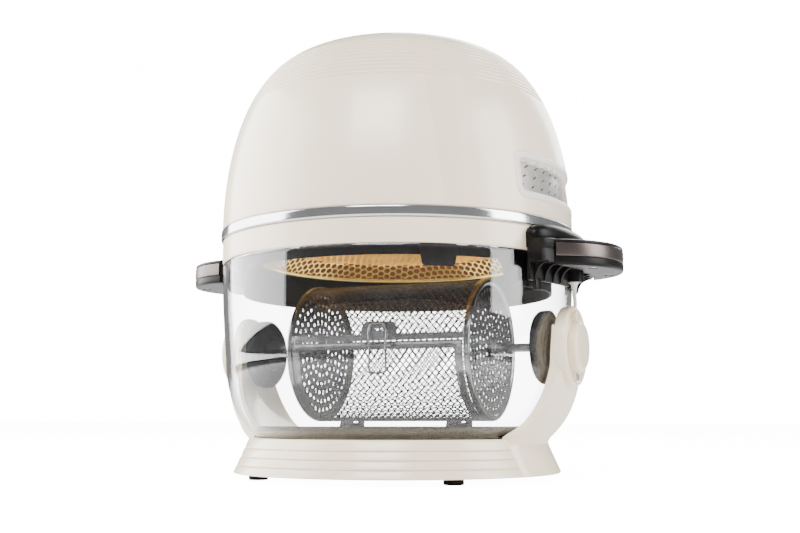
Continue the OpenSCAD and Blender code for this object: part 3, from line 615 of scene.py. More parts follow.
# ---------------------------------------------------------------- bowl
def build_bowl():
    floor_top = BOWL_FLOOR + GLASS_FLOOR
    outer = [(0.0, BOWL_FLOOR), (80 * MM, BOWL_FLOOR), (90 * MM, BOWL_FLOOR),
             (94.5 * MM, BOWL_FLOOR + 0.15 * MM)]
    for t in spread(0, 1, 70):
        z = BOWL_FLOOR + 0.5 * MM + (RIM_Z - 1.6 * MM - BOWL_FLOOR - 0.5 * MM) * t ** 1.5
        outer.append((bowl_out(z), z))
    rim_r = RIM_R - GLASS_T / 2
    lip = [(rim_r + GLASS_T / 2 * math.cos(a), RIM_Z - GLASS_T / 2 + GLASS_T / 2 * math.sin(a))
           for a in spread(0.1, math.pi - 0.1, 8)]
    inner = []
    for t in spread(1, 0, 60):
        z = floor_top + 5 * MM + (RIM_Z - 2.4 * MM - floor_top - 5 * MM) * t ** 1.4
        inner.append((bowl_out(z) - GLASS_T, z))
    bottom = bowl_out(floor_top + 5 * MM) - GLASS_T
    sink = [(bottom - 1.6 * MM, floor_top + 3.6 * MM), (bottom - 4 * MM, floor_top + 2.2 * MM),
            (bottom - 8 * MM, floor_top + 0.9 * MM), (bottom - 14 * MM, floor_top + 0.15 * MM),
            (bottom - 20 * MM, floor_top), (0.0, floor_top)]
    bowl = lathe("bowl_glass", outer + lip + inner + sink, 256, closed=False)
    done(bowl, GLASS, "bowl", ["glass_bowl"], sharp=60)


def build_tray():
    """Dark polished tray on the glass floor, with a rolled rim."""
    low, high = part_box("drip_tray")
    flat_r, edge_r, height, thick = 88 * MM, high.x, high.z - low.z, 0.8 * MM
    outer = [(flat_r + (edge_r - flat_r) * math.sin(a), low.z + height * (1 - math.cos(a)))
             for a in spread(0, math.pi / 2, 24)]
    inner = [(flat_r + (edge_r - thick - flat_r) * math.sin(a),
              low.z + thick + (height - thick) * (1 - math.cos(a)))
             for a in spread(math.pi / 2, 0, 24)]
    roll = [(edge_r + 0.25 * MM, high.z + 0.1 * MM), (edge_r - thick / 2, high.z + 0.45 * MM),
            (edge_r - thick - 0.25 * MM, high.z + 0.1 * MM)]
    profile = [(0.0, low.z)] + outer + roll + inner + [(0.0, low.z + thick)]
    done(lathe("polished_tray", profile, 192, closed=False), PLATE, "bowl",
         ["drip_tray"], sharp=50)


def build_hub(mirrored):
    name = "hub_" + side_name(mirrored)
    low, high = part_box(name)
    face, back = outward(low, high, mirrored)
    r = (high.z - low.z) / 2
    body_back = bowl_out(AXIS_Z) - GLASS_T - 4.6 * MM
    bore = 12.1 * MM
    seat = min(back, body_back + 3 * MM)
    rings = [(bore, face + 7 * MM, 0), (bore, face + 0.4 * MM, 0.3 * MM), (13.6 * MM, face, 0.4 * MM),
             (15 * MM, face + 0.5 * MM, 0.4 * MM), (r - 5.5 * MM, face + 0.2 * MM, 0.5 * MM),
             (r - 4.6 * MM, face, 0.5 * MM), (r - 2.6 * MM, face + 0.5 * MM, 1.2 * MM),
             (r - 0.2 * MM, face + 3 * MM, 1.6 * MM), (r, face + 5 * MM, 1 * MM),
             (r, body_back - 1 * MM, 1 * MM),
             (r - 2 * MM, body_back, 1 * MM), (r - 6.5 * MM, body_back, 0), (r - 7 * MM, seat, 0),
             (bore, seat, 0)]
    done(lathe_x("pad_" + name, rings, 4, 96, mirrored), PAD, "bowl", [name])


# ---------------------------------------------------------------- basket
MESH_X0, MESH_X1 = mesh_lo.x, mesh_hi.x
CELL_X = 5.4 * MM
CELL_A = 3.8


def on_drum(x, degrees, radius):
    """A point on a drum about the basket's axis; 0 points down and -90 to the front."""
    a = math.radians(degrees)
    return Vector((x, radius * math.sin(a), AXIS_Z - radius * math.cos(a)))


def expanded_mesh(name, x0, x1, a0, a1, radius):
    """Diamond mesh of flat strands: each strand zigzags along X and touches the next at its peaks."""
    columns = round((x1 - x0) / CELL_X * 2)
    rows = round((a1 - a0) / CELL_A)
    step_x, step_a = (x1 - x0) / columns, (a1 - a0) / rows
    width = step_a * 0.19
    thick = 0.45 * MM
    verts, faces = [], []
    for row in range(rows):
        middle = a0 + (row + 0.5) * step_a
        start = len(verts)
        for k in range(columns + 1):
            swing = step_a * 0.45 * (1 if (k + row) % 2 else -1)
            tilt = 0.25 * MM * (1 if (k + row) % 2 else -1)
            x = x0 + k * step_x
            for da, dr in ((-width, tilt), (width, tilt), (width, tilt + thick), (-width, tilt + thick)):
                verts.append(on_drum(x, middle + swing + da, radius - 0.7 * MM + dr))
        for k in range(columns):
            here, there = start + 4 * k, start + 4 * (k + 1)
            for i in range(4):
                j = (i + 1) % 4
                faces.append([here + i, here + j, there + j, there + i])
        faces.append([start + 3, start + 2, start + 1, start])
        end = start + 4 * columns
        faces.append([end, end + 1, end + 2, end + 3])
    piece = raw_piece(name, verts, faces)
    fix_normals(piece)
    return piece


def drum_strip(name, x0, x1, a0, a1, inner, outer, hem=0.5 * MM):
    """A curved bar on the drum with rounded edges."""
    steps = max(2, round(abs(a1 - a0) / 3))
    section = filleted([(x0, inner, 0.1 * MM), (x1, inner, 0.1 * MM), (x1, outer, hem),
                        (x0, outer, hem)], 3)
    loops = [[on_drum(x, a, r) for x, r in section] for a in spread(a0, a1, steps)]
    return loops_mesh(name, loops, cap=True)


def drum_frame(name, x0, x1, a0, a1, width_x, width_a, inner, outer):
    """A frame round a window on the drum: flat, with raised hems along both edges."""
    def outline(share, radius):
        xs = (x0 + width_x * share, x1 - width_x * share)
        angles = (a0 + width_a * share, a1 - width_a * share)
        points = [on_drum(x, angles[0], radius) for x in spread(xs[0], xs[1], 24)]
        points += [on_drum(xs[1], a, radius) for a in spread(angles[0], angles[1], 24)[1:]]
        points += [on_drum(x, angles[1], radius) for x in spread(xs[1], xs[0], 24)[1:]]
        points += [on_drum(xs[0], a, radius) for a in spread(angles[1], angles[0], 24)[1:-1]]
        return points
    flat = outer - 0.35 * MM
    steps = [(0.0, inner), (0.0, flat), (0.06, outer), (0.16, outer), (0.24, flat), (0.76, flat),
             (0.84, outer), (0.94, outer), (1.0, flat), (1.0, inner)]
    loops = [outline(share, radius) for share, radius in steps]
    return loops_mesh(name, loops, close_stack=True)


def knuckle(name, x0, x1, y, z, radius, bore=0.0):
    bore = max(bore, 0.02 * MM)
    rings = [(bore, x0, 0), (radius, x0, 0.25 * MM), (radius, x1, 0.25 * MM), (bore, x1, 0)]
    piece = lathe(name, filleted(rings, 3), 28)
    for v in piece.data.vertices:
        across, along, x = v.co
        v.co = (x, y + along, z + across)
    fix_normals(piece)
    return piece


SEAM = -95
HINGE_R = 1.8 * MM
HINGE_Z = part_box("basket_frame")[0].z + HINGE_R
HINGE_Y = 1.6 * MM
HINGE_L = 20 * MM
HINGE_XS = (MESH_X0 + 14 * MM, MESH_X1 - 34 * MM)
BAR_OUT = BASKET_R + 0.9 * MM


def build_basket_shell():
    shell = expanded_mesh("basket_net", MESH_X0, MESH_X1, 1, 359.5 + SEAM, BASKET_R)
    done(shell, NET, "basket", ["basket_mesh"], sharp=30)
    parts = [drum_strip("bar_front", MESH_X0, MESH_X1, SEAM - 5.5, SEAM - 0.3, BASKET_R - 0.4 * MM,
                        BAR_OUT),
             drum_strip("bar_low", MESH_X0, MESH_X1, 0.6, 6, BASKET_R - 0.4 * MM, BAR_OUT)]
    for x in HINGE_XS:
        parts.append(knuckle("pin", x - 0.4 * MM, x + HINGE_L + 0.4 * MM, HINGE_Y, HINGE_Z, 0.8 * MM))
        for dx in (0.0, HINGE_L - 5 * MM):
            parts.append(knuckle("ear", x + dx, x + dx + 5 * MM, HINGE_Y, HINGE_Z, HINGE_R))
            leg = block("leg", (x + dx, HINGE_Y, HINGE_Z), (x + dx + 5 * MM, HINGE_Y + 1.6 * MM,
                                                            AXIS_Z - BASKET_R))
            parts.append(leg)
    done(join("basket_bars", parts), STEEL, "basket", ["basket_frame"], sharp=35)


def build_door():
    net = expanded_mesh("door_net", MESH_X0 + 1 * MM, MESH_X1 - 1 * MM, SEAM + 1, -4.4, BASKET_R)
    done(net, NET, "door", ["door_mesh"], sharp=30)
    parts = [drum_frame("rim", MESH_X0 + 0.8 * MM, MESH_X1 - 0.8 * MM, SEAM + 0.5, -4, 6 * MM, 6.5,
                        BASKET_R - 0.1 * MM, BAR_OUT)]
    for x in HINGE_XS:
        start, stop = x + 5.3 * MM, x + HINGE_L - 5.3 * MM
        parts.append(knuckle("tongue", start, stop, HINGE_Y, HINGE_Z, HINGE_R, 0.85 * MM))
        leaf_y = HINGE_Y - 7.4 * MM
        parts.append(block("leaf", (start, leaf_y, HINGE_Z - 0.5 * MM),
                           (stop, HINGE_Y - 1.2 * MM, HINGE_Z + 0.6 * MM)))
        parts.append(block("stem", (start, leaf_y, HINGE_Z),
                           (stop, HINGE_Y - 6.3 * MM, AXIS_Z - BASKET_R + 0.4 * MM)))
    lug_half = 1.7 * MM
    front, back = BAIL_Y - lug_half, BAIL_Y + 3.2 * MM
    outline = filleted([(front, BAIL_Z - lug_half, 1.6 * MM), (back, BAIL_Z - lug_half, 0),
                        (back, BAIL_Z + lug_half, 0), (front, BAIL_Z + lug_half, 1.6 * MM)], 5)
    for side in (-1, 1):
        x = CATCH_X + side * 9.5 * MM
        parts.append(prism_x("lug", outline, x - 1 * MM, x + 1 * MM))
    done(join("door_rim", parts), STEEL, "door", ["door_frame"], sharp=35)


catch_lo, catch_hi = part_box("latch_catch")
bail_lo, bail_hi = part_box("latch_bail")
CATCH_X = (catch_lo.x + catch_hi.x) / 2
BAIL_Y = (bail_lo.y + bail_hi.y) / 2
BAIL_Z = AXIS_Z + 1 * MM
WIRE_R = 0.8 * MM


def build_latch():
    outline = [(-14.5, -6.5, 0), (14.5, -6.5, 0), (13.6, 3.5, 3), (11.6, 6.5, 2.6), (-11.6, 6.5, 2.6),
               (-13.6, 3.5, 3)]
    shape = filleted([(x * MM, z * MM, r * MM) for x, z, r in outline], 5)
    middle = (catch_lo.z + catch_hi.z) / 2
    y0, y1 = catch_lo.y, catch_hi.y
    loops = []
    for inset, y in ((0.0, y1), (0.0, y0 + 0.3 * MM), (0.3 * MM, y0)):
        scale = 1 - inset / (13 * MM)
        loops.append([(CATCH_X + x * scale, y, middle + z * scale) for x, z in shape])
    plate = loops_mesh("latch_plate", loops, cap=True)
    cut(plate, block("slot", (CATCH_X - 3.6 * MM, y0 - 2 * MM, middle),
                     (CATCH_X + 3.6 * MM, y1 + 2 * MM, middle + 1.6 * MM)))
    done(plate, STEEL, "basket", ["latch_catch"])
    top, low = bail_hi.z - WIRE_R, bail_lo.z + WIRE_R
    y = BAIL_Y
    path = [(-5.4, y, top), (5.4, y, top), (7.4, y - 0.1 * MM, top - 6 * MM), (6.4, y, BAIL_Z),
            (6.8, y, low + 3 * MM), (5.4, y, low), (-5.4, y, low), (-6.8, y, low + 3 * MM),
            (-6.4, y, BAIL_Z),
            (-7.4, y - 0.1 * MM, top - 6 * MM)]
    corners = [(CATCH_X + px * MM, py, pz) for px, py, pz in path]
    wire = tube("wire", bend(corners, 1.8 * MM, 4, True), WIRE_R * 0.95, 12, closed=True)
    cross = knuckle("cross", CATCH_X - 11 * MM, CATCH_X + 11 * MM, y, BAIL_Z, WIRE_R)
    done(join("latch_wire", [wire, cross]), STEEL, "bail", ["latch_bail"])


def build_end_cap(mirrored):
    """Hoop and end disc with rings of round holes."""
    name = "basket_cap_" + side_name(mirrored)
    inner_x, outer_x = outward(*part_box(name), mirrored)
    hoop_r = BASKET_R + 1 * MM
    disc_x = outer_x - 1.6 * MM
    rings = [(0.02 * MM, disc_x, 0), (BASKET_R - 4 * MM, disc_x, 1 * MM),
             (BASKET_R - 2.2 * MM, outer_x - 0.3 * MM, 0.8 * MM), (BASKET_R - 0.6 * MM, outer_x, 0.8 * MM),
             (hoop_r, outer_x - 0.9 * MM, 0.9 * MM), (hoop_r, inner_x, 0.3 * MM),
             (BASKET_R, inner_x, 0), (BASKET_R - 0.6 * MM, outer_x - 1.6 * MM, 0.4 * MM),
             (BASKET_R - 3 * MM, disc_x - 1.0 * MM, 0.6 * MM), (0.02 * MM, disc_x - 0.9 * MM, 0)]
    cap = lathe("cap", filleted(rings, 3), 96)
    holes = []
    for k, r in enumerate((11, 17.5, 24, 30.5, 37, 43.5)):
        count = round(r * 1.02)
        for i in range(count):
            a = 2 * math.pi * (i + 0.5 * (k % 2)) / count
            ring = circle(r * MM * math.cos(a), r * MM * math.sin(a), 1.9 * MM, 14)
            holes.append(prism_z("hole", ring, disc_x - 6 * MM, disc_x + 6 * MM))
    cut(cap, join("holes", holes))
    turn_to_x(cap, mirrored)
    done(cap, STEEL, "basket", [name], sharp=35)


def build_rod(mirrored):
    name = "rod_" + side_name(mirrored)
    x0, x1 = outward(*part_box(name), mirrored)
    half = 3 * MM
    bar = prism_x("bar", filleted([(-half, AXIS_Z - half, 0.5 * MM), (half, AXIS_Z - half, 0.5 * MM),
                                   (half, AXIS_Z + half, 0.5 * MM), (-half, AXIS_Z + half, 0.5 * MM)],
                                  3), x0, x1)
    rings = [(0.02 * MM, x0, 0), (7 * MM, x0, 0.2 * MM), (7 * MM, x0 + 1.2 * MM, 0.5 * MM),
             (4.9 * MM, x0 + 1.6 * MM, 0.4 * MM), (4.6 * MM, x0 + 3 * MM, 0.5 * MM),
             (0.02 * MM, x0 + 3 * MM, 0)]
    rod = join("drive_" + name, [bar, lathe_x("collar", rings, 4, 48)])
    if mirrored:
        mirror_x(rod)
    done(rod, STEEL, "basket", [name])


# ---------------------------------------------------------------- head shell
PANEL_HOLE = panel_hi.x + 0.3 * MM
VENT_LO, VENT_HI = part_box("vent_right")
VENT_HALF = VENT_HI.y
VENT_Z0, VENT_Z1 = VENT_LO.z, VENT_HI.z
GROOVES = 10
GROOVE_Z0 = BAND_TOP + DOME_H * 0.645
GROOVE_Z1 = BAND_TOP + DOME_H * 0.875
DOME_WALL = 3 * MM


def groove_depth(z):
    """Depth of the fine horizontal grooves round the shoulder."""
    if not GROOVE_Z0 < z < GROOVE_Z1:
        return 0.0
    phase = (z - GROOVE_Z0) / (GROOVE_Z1 - GROOVE_Z0) * GROOVES % 1.0
    return 0.85 * MM * math.exp(-(((phase - 0.5) / 0.17) ** 2))


def rounded_window(half, z0, z1, radius, steps=8):
    return filleted([(-half, z0, radius), (half, z0, radius), (half, z1, radius), (-half, z1, radius)],
                    steps)


def build_dome():
    outer = [(DOME_R - 0.8 * MM, BAND_TOP + 0.02 * MM), (DOME_R - 0.25 * MM, BAND_TOP + 0.3 * MM),
             (DOME_R - 0.02 * MM, BAND_TOP + 0.9 * MM)]
    lip_angle = math.acos((PANEL_HOLE / DOME_R) ** 2)
    angles = spread(0.012, 0.66, 26) + spread(0.66, 1.12, 150)[1:] + spread(1.12, lip_angle, 26)[1:]
    for a in angles:
        r, z = DOME_R * math.sqrt(math.cos(a)), BAND_TOP + DOME_H * math.sin(a)
        outer.append((r - groove_depth(z), z))
    lip = [(PANEL_HOLE, outer[-1][1] - 0.5 * MM), (PANEL_HOLE, outer[-1][1] - DOME_WALL)]
    inner = []
    inside_r, inside_h = DOME_R - DOME_WALL, DOME_H - DOME_WALL
    for a in spread(lip_angle, 0.0, 40):
        inner.append((inside_r * math.sqrt(math.cos(a)), BAND_TOP + inside_h * math.sin(a)))
    dome = lathe("dome_moulding", outer + lip + inner[1:], 256)
    window = rounded_window(VENT_HALF, VENT_Z0, VENT_Z1, 9 * MM)
    inlet_lo, inlet_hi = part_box("inlet")
    cutters = [prism_x("window", window, 0.09, 0.16), prism_x("window", window, -0.16, -0.09),
               block("inlet_window", (inlet_lo.x, 0.1, inlet_lo.z), (inlet_hi.x, 0.16, inlet_hi.z))]
    cut(dome, join("windows", cutters))
    done(dome, CREAM, "head", ["dome_shell"], sharp=50)


def dome_x(y, z, depth):
    """X of the point at (y, z) that lies depth below the dome's surface."""
    r = dome_out(z) - depth
    return math.sqrt(r * r - y * y)


def build_vent(mirrored):
    steps = [(0.0, 2.9), (0.0, 0.3), (0.5, -0.25), (1.4, -0.4), (4.2, -0.35), (5.0, 0.0), (5.5, 0.9),
             (5.9, 2.5),
             (6.2, 6.8), (4.8, 7.6), (0.6, 7.6), (0.3, 2.9)]
    loops = []
    for inset, depth in steps:
        outline = rounded_window(VENT_HALF - inset * MM, VENT_Z0 + inset * MM, VENT_Z1 - inset * MM,
                                 max(9 - inset, 4.5) * MM, 10)
        loops.append([(dome_x(y, z, depth * MM), y, z) for y, z in subdivided(outline, 4 * MM)])
    bezel = loops_mesh("bezel", loops, close_stack=True)
    half, low, high = VENT_HALF - 5 * MM, VENT_Z0 + 5 * MM, VENT_Z1 - 5 * MM
    front = [[(dome_x(y, z, 5.6 * MM), y, z) for y in spread(-half, half, 60)] for z in spread(low,
                                                                                               high, 14)]
    back = [[(dome_x(y, z, 7.4 * MM), y, z) for y in spread(-half, half, 60)] for z in spread(low, high,
                                                                                              14)]
    sheet = slab("panel", front, back)
    slots = []
    for row in range(3):
        for i in range(9):
            y = (i - 4) * 11.5 * MM + (row - 1) * 3 * MM
            z = VENT_Z0 + (10.5 + 7 * row) * MM
            tilt = math.radians(30)
            outline = filleted([(-2.2 * MM, -0.6 * MM, 0.6 * MM), (2.2 * MM, -0.6 * MM, 0.6 * MM),
                                (2.2 * MM, 0.6 * MM, 0.6 * MM), (-2.2 * MM, 0.6 * MM, 0.6 * MM)], 4)
            turned = [(y + u * math.cos(tilt) - v * math.sin(tilt),
                       z + u * math.sin(tilt) + v * math.cos(tilt))
                      for u, v in outline]
            slots.append(prism_x("slot", turned, 0.09, 0.16))
    cut(sheet, join("slots", slots))
    lip_front, lip_back = [], []
    for share in spread(0.0, 1.0, 6):
        row_front, row_back = [], []
        for y in spread(-half + 3 * MM, half - 3 * MM, 130):
            drop = (1.4 + 1.5 * abs(math.sin(math.pi * y / (11.5 * MM)))) * MM
            z = high + 0.6 * MM - (drop + 0.6 * MM) * share
            sink = 1.2 * MM + 2.6 * MM * share * share
            row_front.append((dome_x(y, z, sink), y, z))
            row_back.append((dome_x(y, z, 6 * MM), y, z))
        lip_front.append(row_front)
        lip_back.append(row_back)
    lip = slab("lip", lip_front, lip_back)
    side = "left" if mirrored else "right"
    surround = join("vent_insert_" + side, [bezel, lip])
    sheet.name = "vent_screen_" + side
    for piece, look in ((surround, VENT), (sheet, SCREEN)):
        if mirrored:
            mirror_x(piece)
        done(piece, look, "head", ["vent_" + side], sharp=35)


def subdivided(outline, longest):
    """The same closed outline, with long edges split."""
    out = []
    for i, (x, y) in enumerate(outline):
        x2, y2 = outline[(i + 1) % len(outline)]
        pieces = max(1, math.ceil(math.hypot(x2 - x, y2 - y) / longest))
        out += [(x + (x2 - x) * k / pieces, y + (y2 - y) * k / pieces) for k in range(pieces)]
    return out


def slab(name, front, back):
    """A closed plate between two grids of points of the same size."""
    rows, columns = len(front), len(front[0])
    verts = [p for row in front for p in row] + [p for row in back for p in row]
    shift = rows * columns
    faces = []
    for r in range(rows - 1):
        for c in range(columns - 1):
            a, b = r * columns + c, (r + 1) * columns + c
            faces.append([a, a + 1, b + 1, b])
            faces.append([shift + a, shift + b, shift + b + 1, shift + a + 1])
    rim = list(range(columns)) + [r * columns + columns - 1 for r in range(1, rows)]
    rim += [(rows - 1) * columns + c for c in range(columns - 2, -1,
                                                    -1)] + [r * columns for r in range(rows - 2, 0, -1)]
    for i, a in enumerate(rim):
        b = rim[(i + 1) % len(rim)]
        faces.append([a, b, shift + b, shift + a])
    return new_piece(name, verts, faces)


def build_rings():
    inner = ring_hi.x - 5.6 * MM
    ring = [(inner, RIM_Z, 0), (RING_R - 0.5 * MM, RIM_Z, 0.5 * MM),
            (RING_R - 0.1 * MM, RIM_Z + 1.4 * MM, 1 * MM),
            (RING_R, RING_TOP - 0.8 * MM, 0.4 * MM), (RING_R - 0.6 * MM, RING_TOP, 0.3 * MM),
            (inner, RING_TOP, 0)]
    done(lathe("head_ring", filleted(ring, 4), 256), CREAM, "head", ["lower_ring"])
    low, high = RING_TOP, BAND_TOP
    band = [(inner + 1 * MM, low, 0), (RING_R - 0.4 * MM, low, 0.1 * MM),
            (BAND_R - 0.25 * MM, low + 0.5 * MM, 0.5 * MM),
            (BAND_R, low + 1.6 * MM, 0.8 * MM), (BAND_R, high - 1.6 * MM, 0.8 * MM),
            (BAND_R - 0.25 * MM, high - 0.5 * MM, 0.5 * MM),
            (RING_R - 0.4 * MM, high, 0.1 * MM), (inner + 1 * MM, high, 0)]
    done(lathe("polished_band", filleted(band, 4), 256), BAND, "head", ["steel_band"])


def build_panel():
    """Glossy control disc on the crown, with plain marks: a ring of dots, two arrows and a bar."""
    r = panel_hi.x
    top = panel_hi.z
    edge_z = dome_out_z(r)
    profile = [(0.0, top - 0.1 * MM)]
    profile += [(x, dome_out_z(x) - 0.1 * MM) for x in spread(4 * MM, r - 1 * MM, 12)]
    profile += [(r - 0.2 * MM, edge_z - 0.3 * MM), (r, edge_z - 0.8 * MM), (r, panel_lo.z),
                (0.0, panel_lo.z)]
    disc = lathe("crown_panel", profile, 128, closed=False)
    done(disc, PANEL, "head", ["touch_panel"], sharp=50)
    marks = []
    for i in range(12):
        a = math.radians(30 * i)
        marks.append(mark_disc((r - 9 * MM) * math.cos(a), (r - 9 * MM) * math.sin(a), 1.1 * MM, 16))
    for side in (-1, 1):
        marks.append(mark_disc(side * 15 * MM, -14 * MM, 3 * MM, 3, 90))
    for i in range(3):
        marks.append(mark_disc((i - 1) * 8 * MM, 4 * MM, 2.4 * MM, 4, 45))
    done(join("crown_marks", marks), ICON, "head")


def dome_out_z(r):
    """Height of the dome's surface at a radius."""
    return BAND_TOP + DOME_H * math.sqrt(1 - (r / DOME_R) ** 4)


def mark_disc(x, y, r, sides, turn=0):
    z = dome_out_z(math.hypot(x, y))
    rings = []
    for share, dz in ((1.0, -0.3 * MM), (1.0, 0.02 * MM), (0.85, 0.06 * MM)):
        angles = [math.radians(turn + 360 * i / sides) for i in range(sides)]
        rings.append([(x + r * share * math.cos(a), y + r * share * math.sin(a), z + dz) for a in angles])
    return loops_mesh("mark", rings, cap=True)


# ---------------------------------------------------------------- underside of the head
def guard_profile(s):
    """(radius, z) of the guard at path length s from its middle: flat crown, bend, steep wall."""
    low, high = GUARD_LOW + 0.8 * MM, GUARD_LOW + 13.2 * MM
    crown_r, rim_r = GUARD_R - 13.5 * MM, GUARD_R - 2.6 * MM
    wall = math.hypot(rim_r - crown_r, high - low)
    if s < crown_r:
        return s, high + 2.2 * MM * (1 - (s / crown_r) ** 2)
    share = min(1.0, (s - crown_r) / wall)
    return crown_r + (rim_r - crown_r) * share, high + (low - high) * share


def build_guard():
    """Honeycomb sheet pressed into an upturned dish, held in a rolled rim."""
    pitch = 6.0 * MM
    reach = GUARD_R - 13.5 * MM + math.hypot(10.9 * MM, 12.4 * MM)
    cell_r = pitch / math.sqrt(3)
    verts, faces = [], []
    rows = int(reach / (pitch * math.sqrt(3) / 2)) + 1
    for row in range(-rows, rows + 1):
        for column in range(-rows - 1, rows + 2):
            cx = (column + 0.5 * (row % 2)) * pitch
            cy = row * pitch * math.sqrt(3) / 2
            if math.hypot(cx, cy) > reach - pitch * 0.35:
                continue
            start = len(verts)
            for share in (1.0, 0.80):
                for k in range(6):
                    a = math.radians(60 * k + 30)
                    x, y = cx + cell_r * share * math.cos(a), cy + cell_r * share * math.sin(a)
                    s = min(math.hypot(x, y), reach)
                    r, z = guard_profile(s)
                    scale = r / max(math.hypot(x, y), 1e-9)
                    verts.append((x * scale, y * scale, z))
            for k in range(6):
                j = (k + 1) % 6
                faces.append([start + k, start + j, start + 6 + j, start + 6 + k])
    net = new_piece("honeycomb", verts, faces)
    thick = net.modifiers.new("thick", "SOLIDIFY")
    thick.thickness = 0.9 * MM
    thick.offset = 0
    apply_modifiers(net)
    low, top = GUARD_LOW, SHIELD_LOW
    rim = [(GUARD_R - 3.6 * MM, low + 0.3 * MM, 0.4 * MM), (GUARD_R - 2 * MM, low, 1 * MM),
           (GUARD_R, low, 1 * MM),
           (GUARD_R, top, 0.5 * MM), (GUARD_R - 2 * MM, top, 0.3 * MM),
           (GUARD_R - 4.4 * MM, low + 1.6 * MM, 0.3 * MM)]
    ring = lathe("rolled_rim", filleted(rim, 4), 192)
    # The guard's material carries a painted glow, a stand-in for warm light on it.
    done(join("heater_guard", [net, ring]), GOLD_PAINTED_GLOW, "head", ["guard"], sharp=35)


def skirt_low(degrees):
    """Lower edge of the air skirt: short across the front, deep at the sides and the back."""
    off_front = abs((degrees + 90 + 180) % 360 - 180)
    share = smooth_step((off_front - 61) / 3)
    return RIM_Z - 6 * MM + (skirt_lo.z - RIM_Z + 6 * MM) * share


def build_skirt():
    r = 118 * MM
    angles = spread(0, 360, 360)[:-1]
    loops = []
    for inset, low_lift, at_top in ((1.6, 0.3, 0), (1.2, 0.0, 0), (0.4, 0.0, 0), (0.0, 0.4, 0),
                                    (0.0, 0.0, 1), (1.6, 0.0, 1)):
        loop = []
        for a in angles:
            z = SHIELD_LOW if at_top else skirt_low(a) + low_lift * MM
            radius = r - inset * MM
            loop.append((radius * math.cos(math.radians(a)), radius * math.sin(math.radians(a)), z))
        loops.append(loop)
    wall = loops_mesh("wall", loops, close_stack=True)
    parts = [wall, lathe("flange", [(r, SHIELD_LOW - 1.5 * MM), (skirt_hi.x, SHIELD_LOW - 1.5 * MM),
                                    (skirt_hi.x, SHIELD_LOW), (r, SHIELD_LOW)], 192)]
    for degrees in (37.5, 127.5, 217.5, 307.5):
        outline = filleted([(-14 * MM, SHIELD_LOW - 1 * MM, 0), (-11 * MM, RIM_Z - 14 * MM, 2.5 * MM),
                            (11 * MM, RIM_Z - 14 * MM, 2.5 * MM), (14 * MM, SHIELD_LOW - 1 * MM, 0)], 5)
        tab = prism_x("tab", outline, r + 2 * MM, r + 4 * MM)
        soften(tab, 0.4 * MM, 2)
        tab.data.transform(Matrix.Rotation(math.radians(degrees), 4, "Z"))
        parts.append(tab)
    done(join("air_skirt_black", parts), SHIELD_BLACK, "head", ["air_skirt"], sharp=35)


def build_shield():
    inner = GUARD_R - 2 * MM
    top = shield_hi.z
    edge = shield_hi.x
    profile = filleted([(edge, SHIELD_LOW, 0), (inner, SHIELD_LOW, 1 * MM),
                        (inner - 3 * MM, top - 1.5 * MM, 6 * MM),
                        (6 * MM, top - 1.5 * MM, 0), (6 * MM, top, 0), (inner - 1.5 * MM, top, 6 * MM),
                        (inner + 1.5 * MM, SHIELD_LOW + 1.5 * MM, 1 * MM),
                        (edge, SHIELD_LOW + 1.5 * MM, 0)], 6)
    # The bell's tint and glow are painted warm light reflected in the cavity.
    done(lathe("heater_bell", profile, 160), CAVITY_PAINTED_GLOW, "head", ["heat_shield"])


def build_element():
    low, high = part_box("heating_element")
    z = low.z + 3.2 * MM
    parts = []
    for r in (84, 70):
        circle = [(r * MM * math.cos(a), r * MM * math.sin(a), z) for a in spread(0, 2 * math.pi, 96)[:-1]]
        parts.append(tube("coil", circle, 3.1 * MM, 14, closed=True))
    for degrees in (0, 90, 180, 270):
        clip = block("clip", (68 * MM, -2 * MM, z - 1 * MM), (86 * MM, 2 * MM, z + 1 * MM))
        soften(clip, 0.4 * MM, 2)
        clip.data.transform(Matrix.Rotation(math.radians(degrees), 4, "Z"))
        parts.append(clip)
    for side in (-1, 1):
        a = math.radians(90 + side * 6)
        x, y = 84 * MM * math.cos(a), 84 * MM * math.sin(a)
        parts.append(tube("leg", [(x, y, z), (x, y, high.z)], 2.6 * MM, 14))
    done(join("heater_coils", parts), ELEMENT, "head", ["heating_element"])


def build_fan(name, node, blades, pitch, mat_used):
    low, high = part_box(node)
    r = (high.x - low.x) / 2
    mid = (low.z + high.z) / 2
    h = high.z - low.z
    parts = [lathe("hub",
                   filleted([(4.05 * MM, low.z, 0), (10 * MM, low.z, 1 * MM), (10 * MM, high.z, 1 * MM),
                                    (4.05 * MM, high.z, 0)], 3), 64),
             lathe("plate", [(9 * MM, high.z - 1 * MM), (r * 0.7, high.z - 1 * MM), (r * 0.7, high.z),
                             (9 * MM, high.z)], 96)]
    for i in range(blades):
        front, back = [], []
        for s in spread(9 * MM, r - 1 * MM, 10):
            swirl = 0.5 * (s / r) ** 1.5
            row_f, row_b = [], []
            for t in spread(-0.5, 0.5, 4):
                lean = math.radians(pitch) * t * 1.2
                a = swirl + lean + 2 * math.pi * i / blades
                z = mid + t * h * 0.9
                row_f.append((s * math.cos(a), s * math.sin(a), z))
                shift = 0.9 * MM / s
                row_b.append((s * math.cos(a + shift), s * math.sin(a + shift), z))
            front.append(row_f)
            back.append(row_b)
        parts.append(slab("blade", front, back))
    done(join(name, parts), mat_used, "fan", [node], sharp=40)


# ---------------------------------------------------------------- handles
grip_lo, grip_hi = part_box("grip_right")
trim_lo, trim_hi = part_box("trim_right")
bracket_lo, bracket_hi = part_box("bracket_right")
cover_lo, cover_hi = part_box("root_cover")
GRIP_R = 56.2 * MM
GRIP_X = grip_hi.x - GRIP_R
BRACKET_R = bracket_hi.x
ROOT_R = -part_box("bracket_left")[0].x
BRACKET_HALF = 24.7


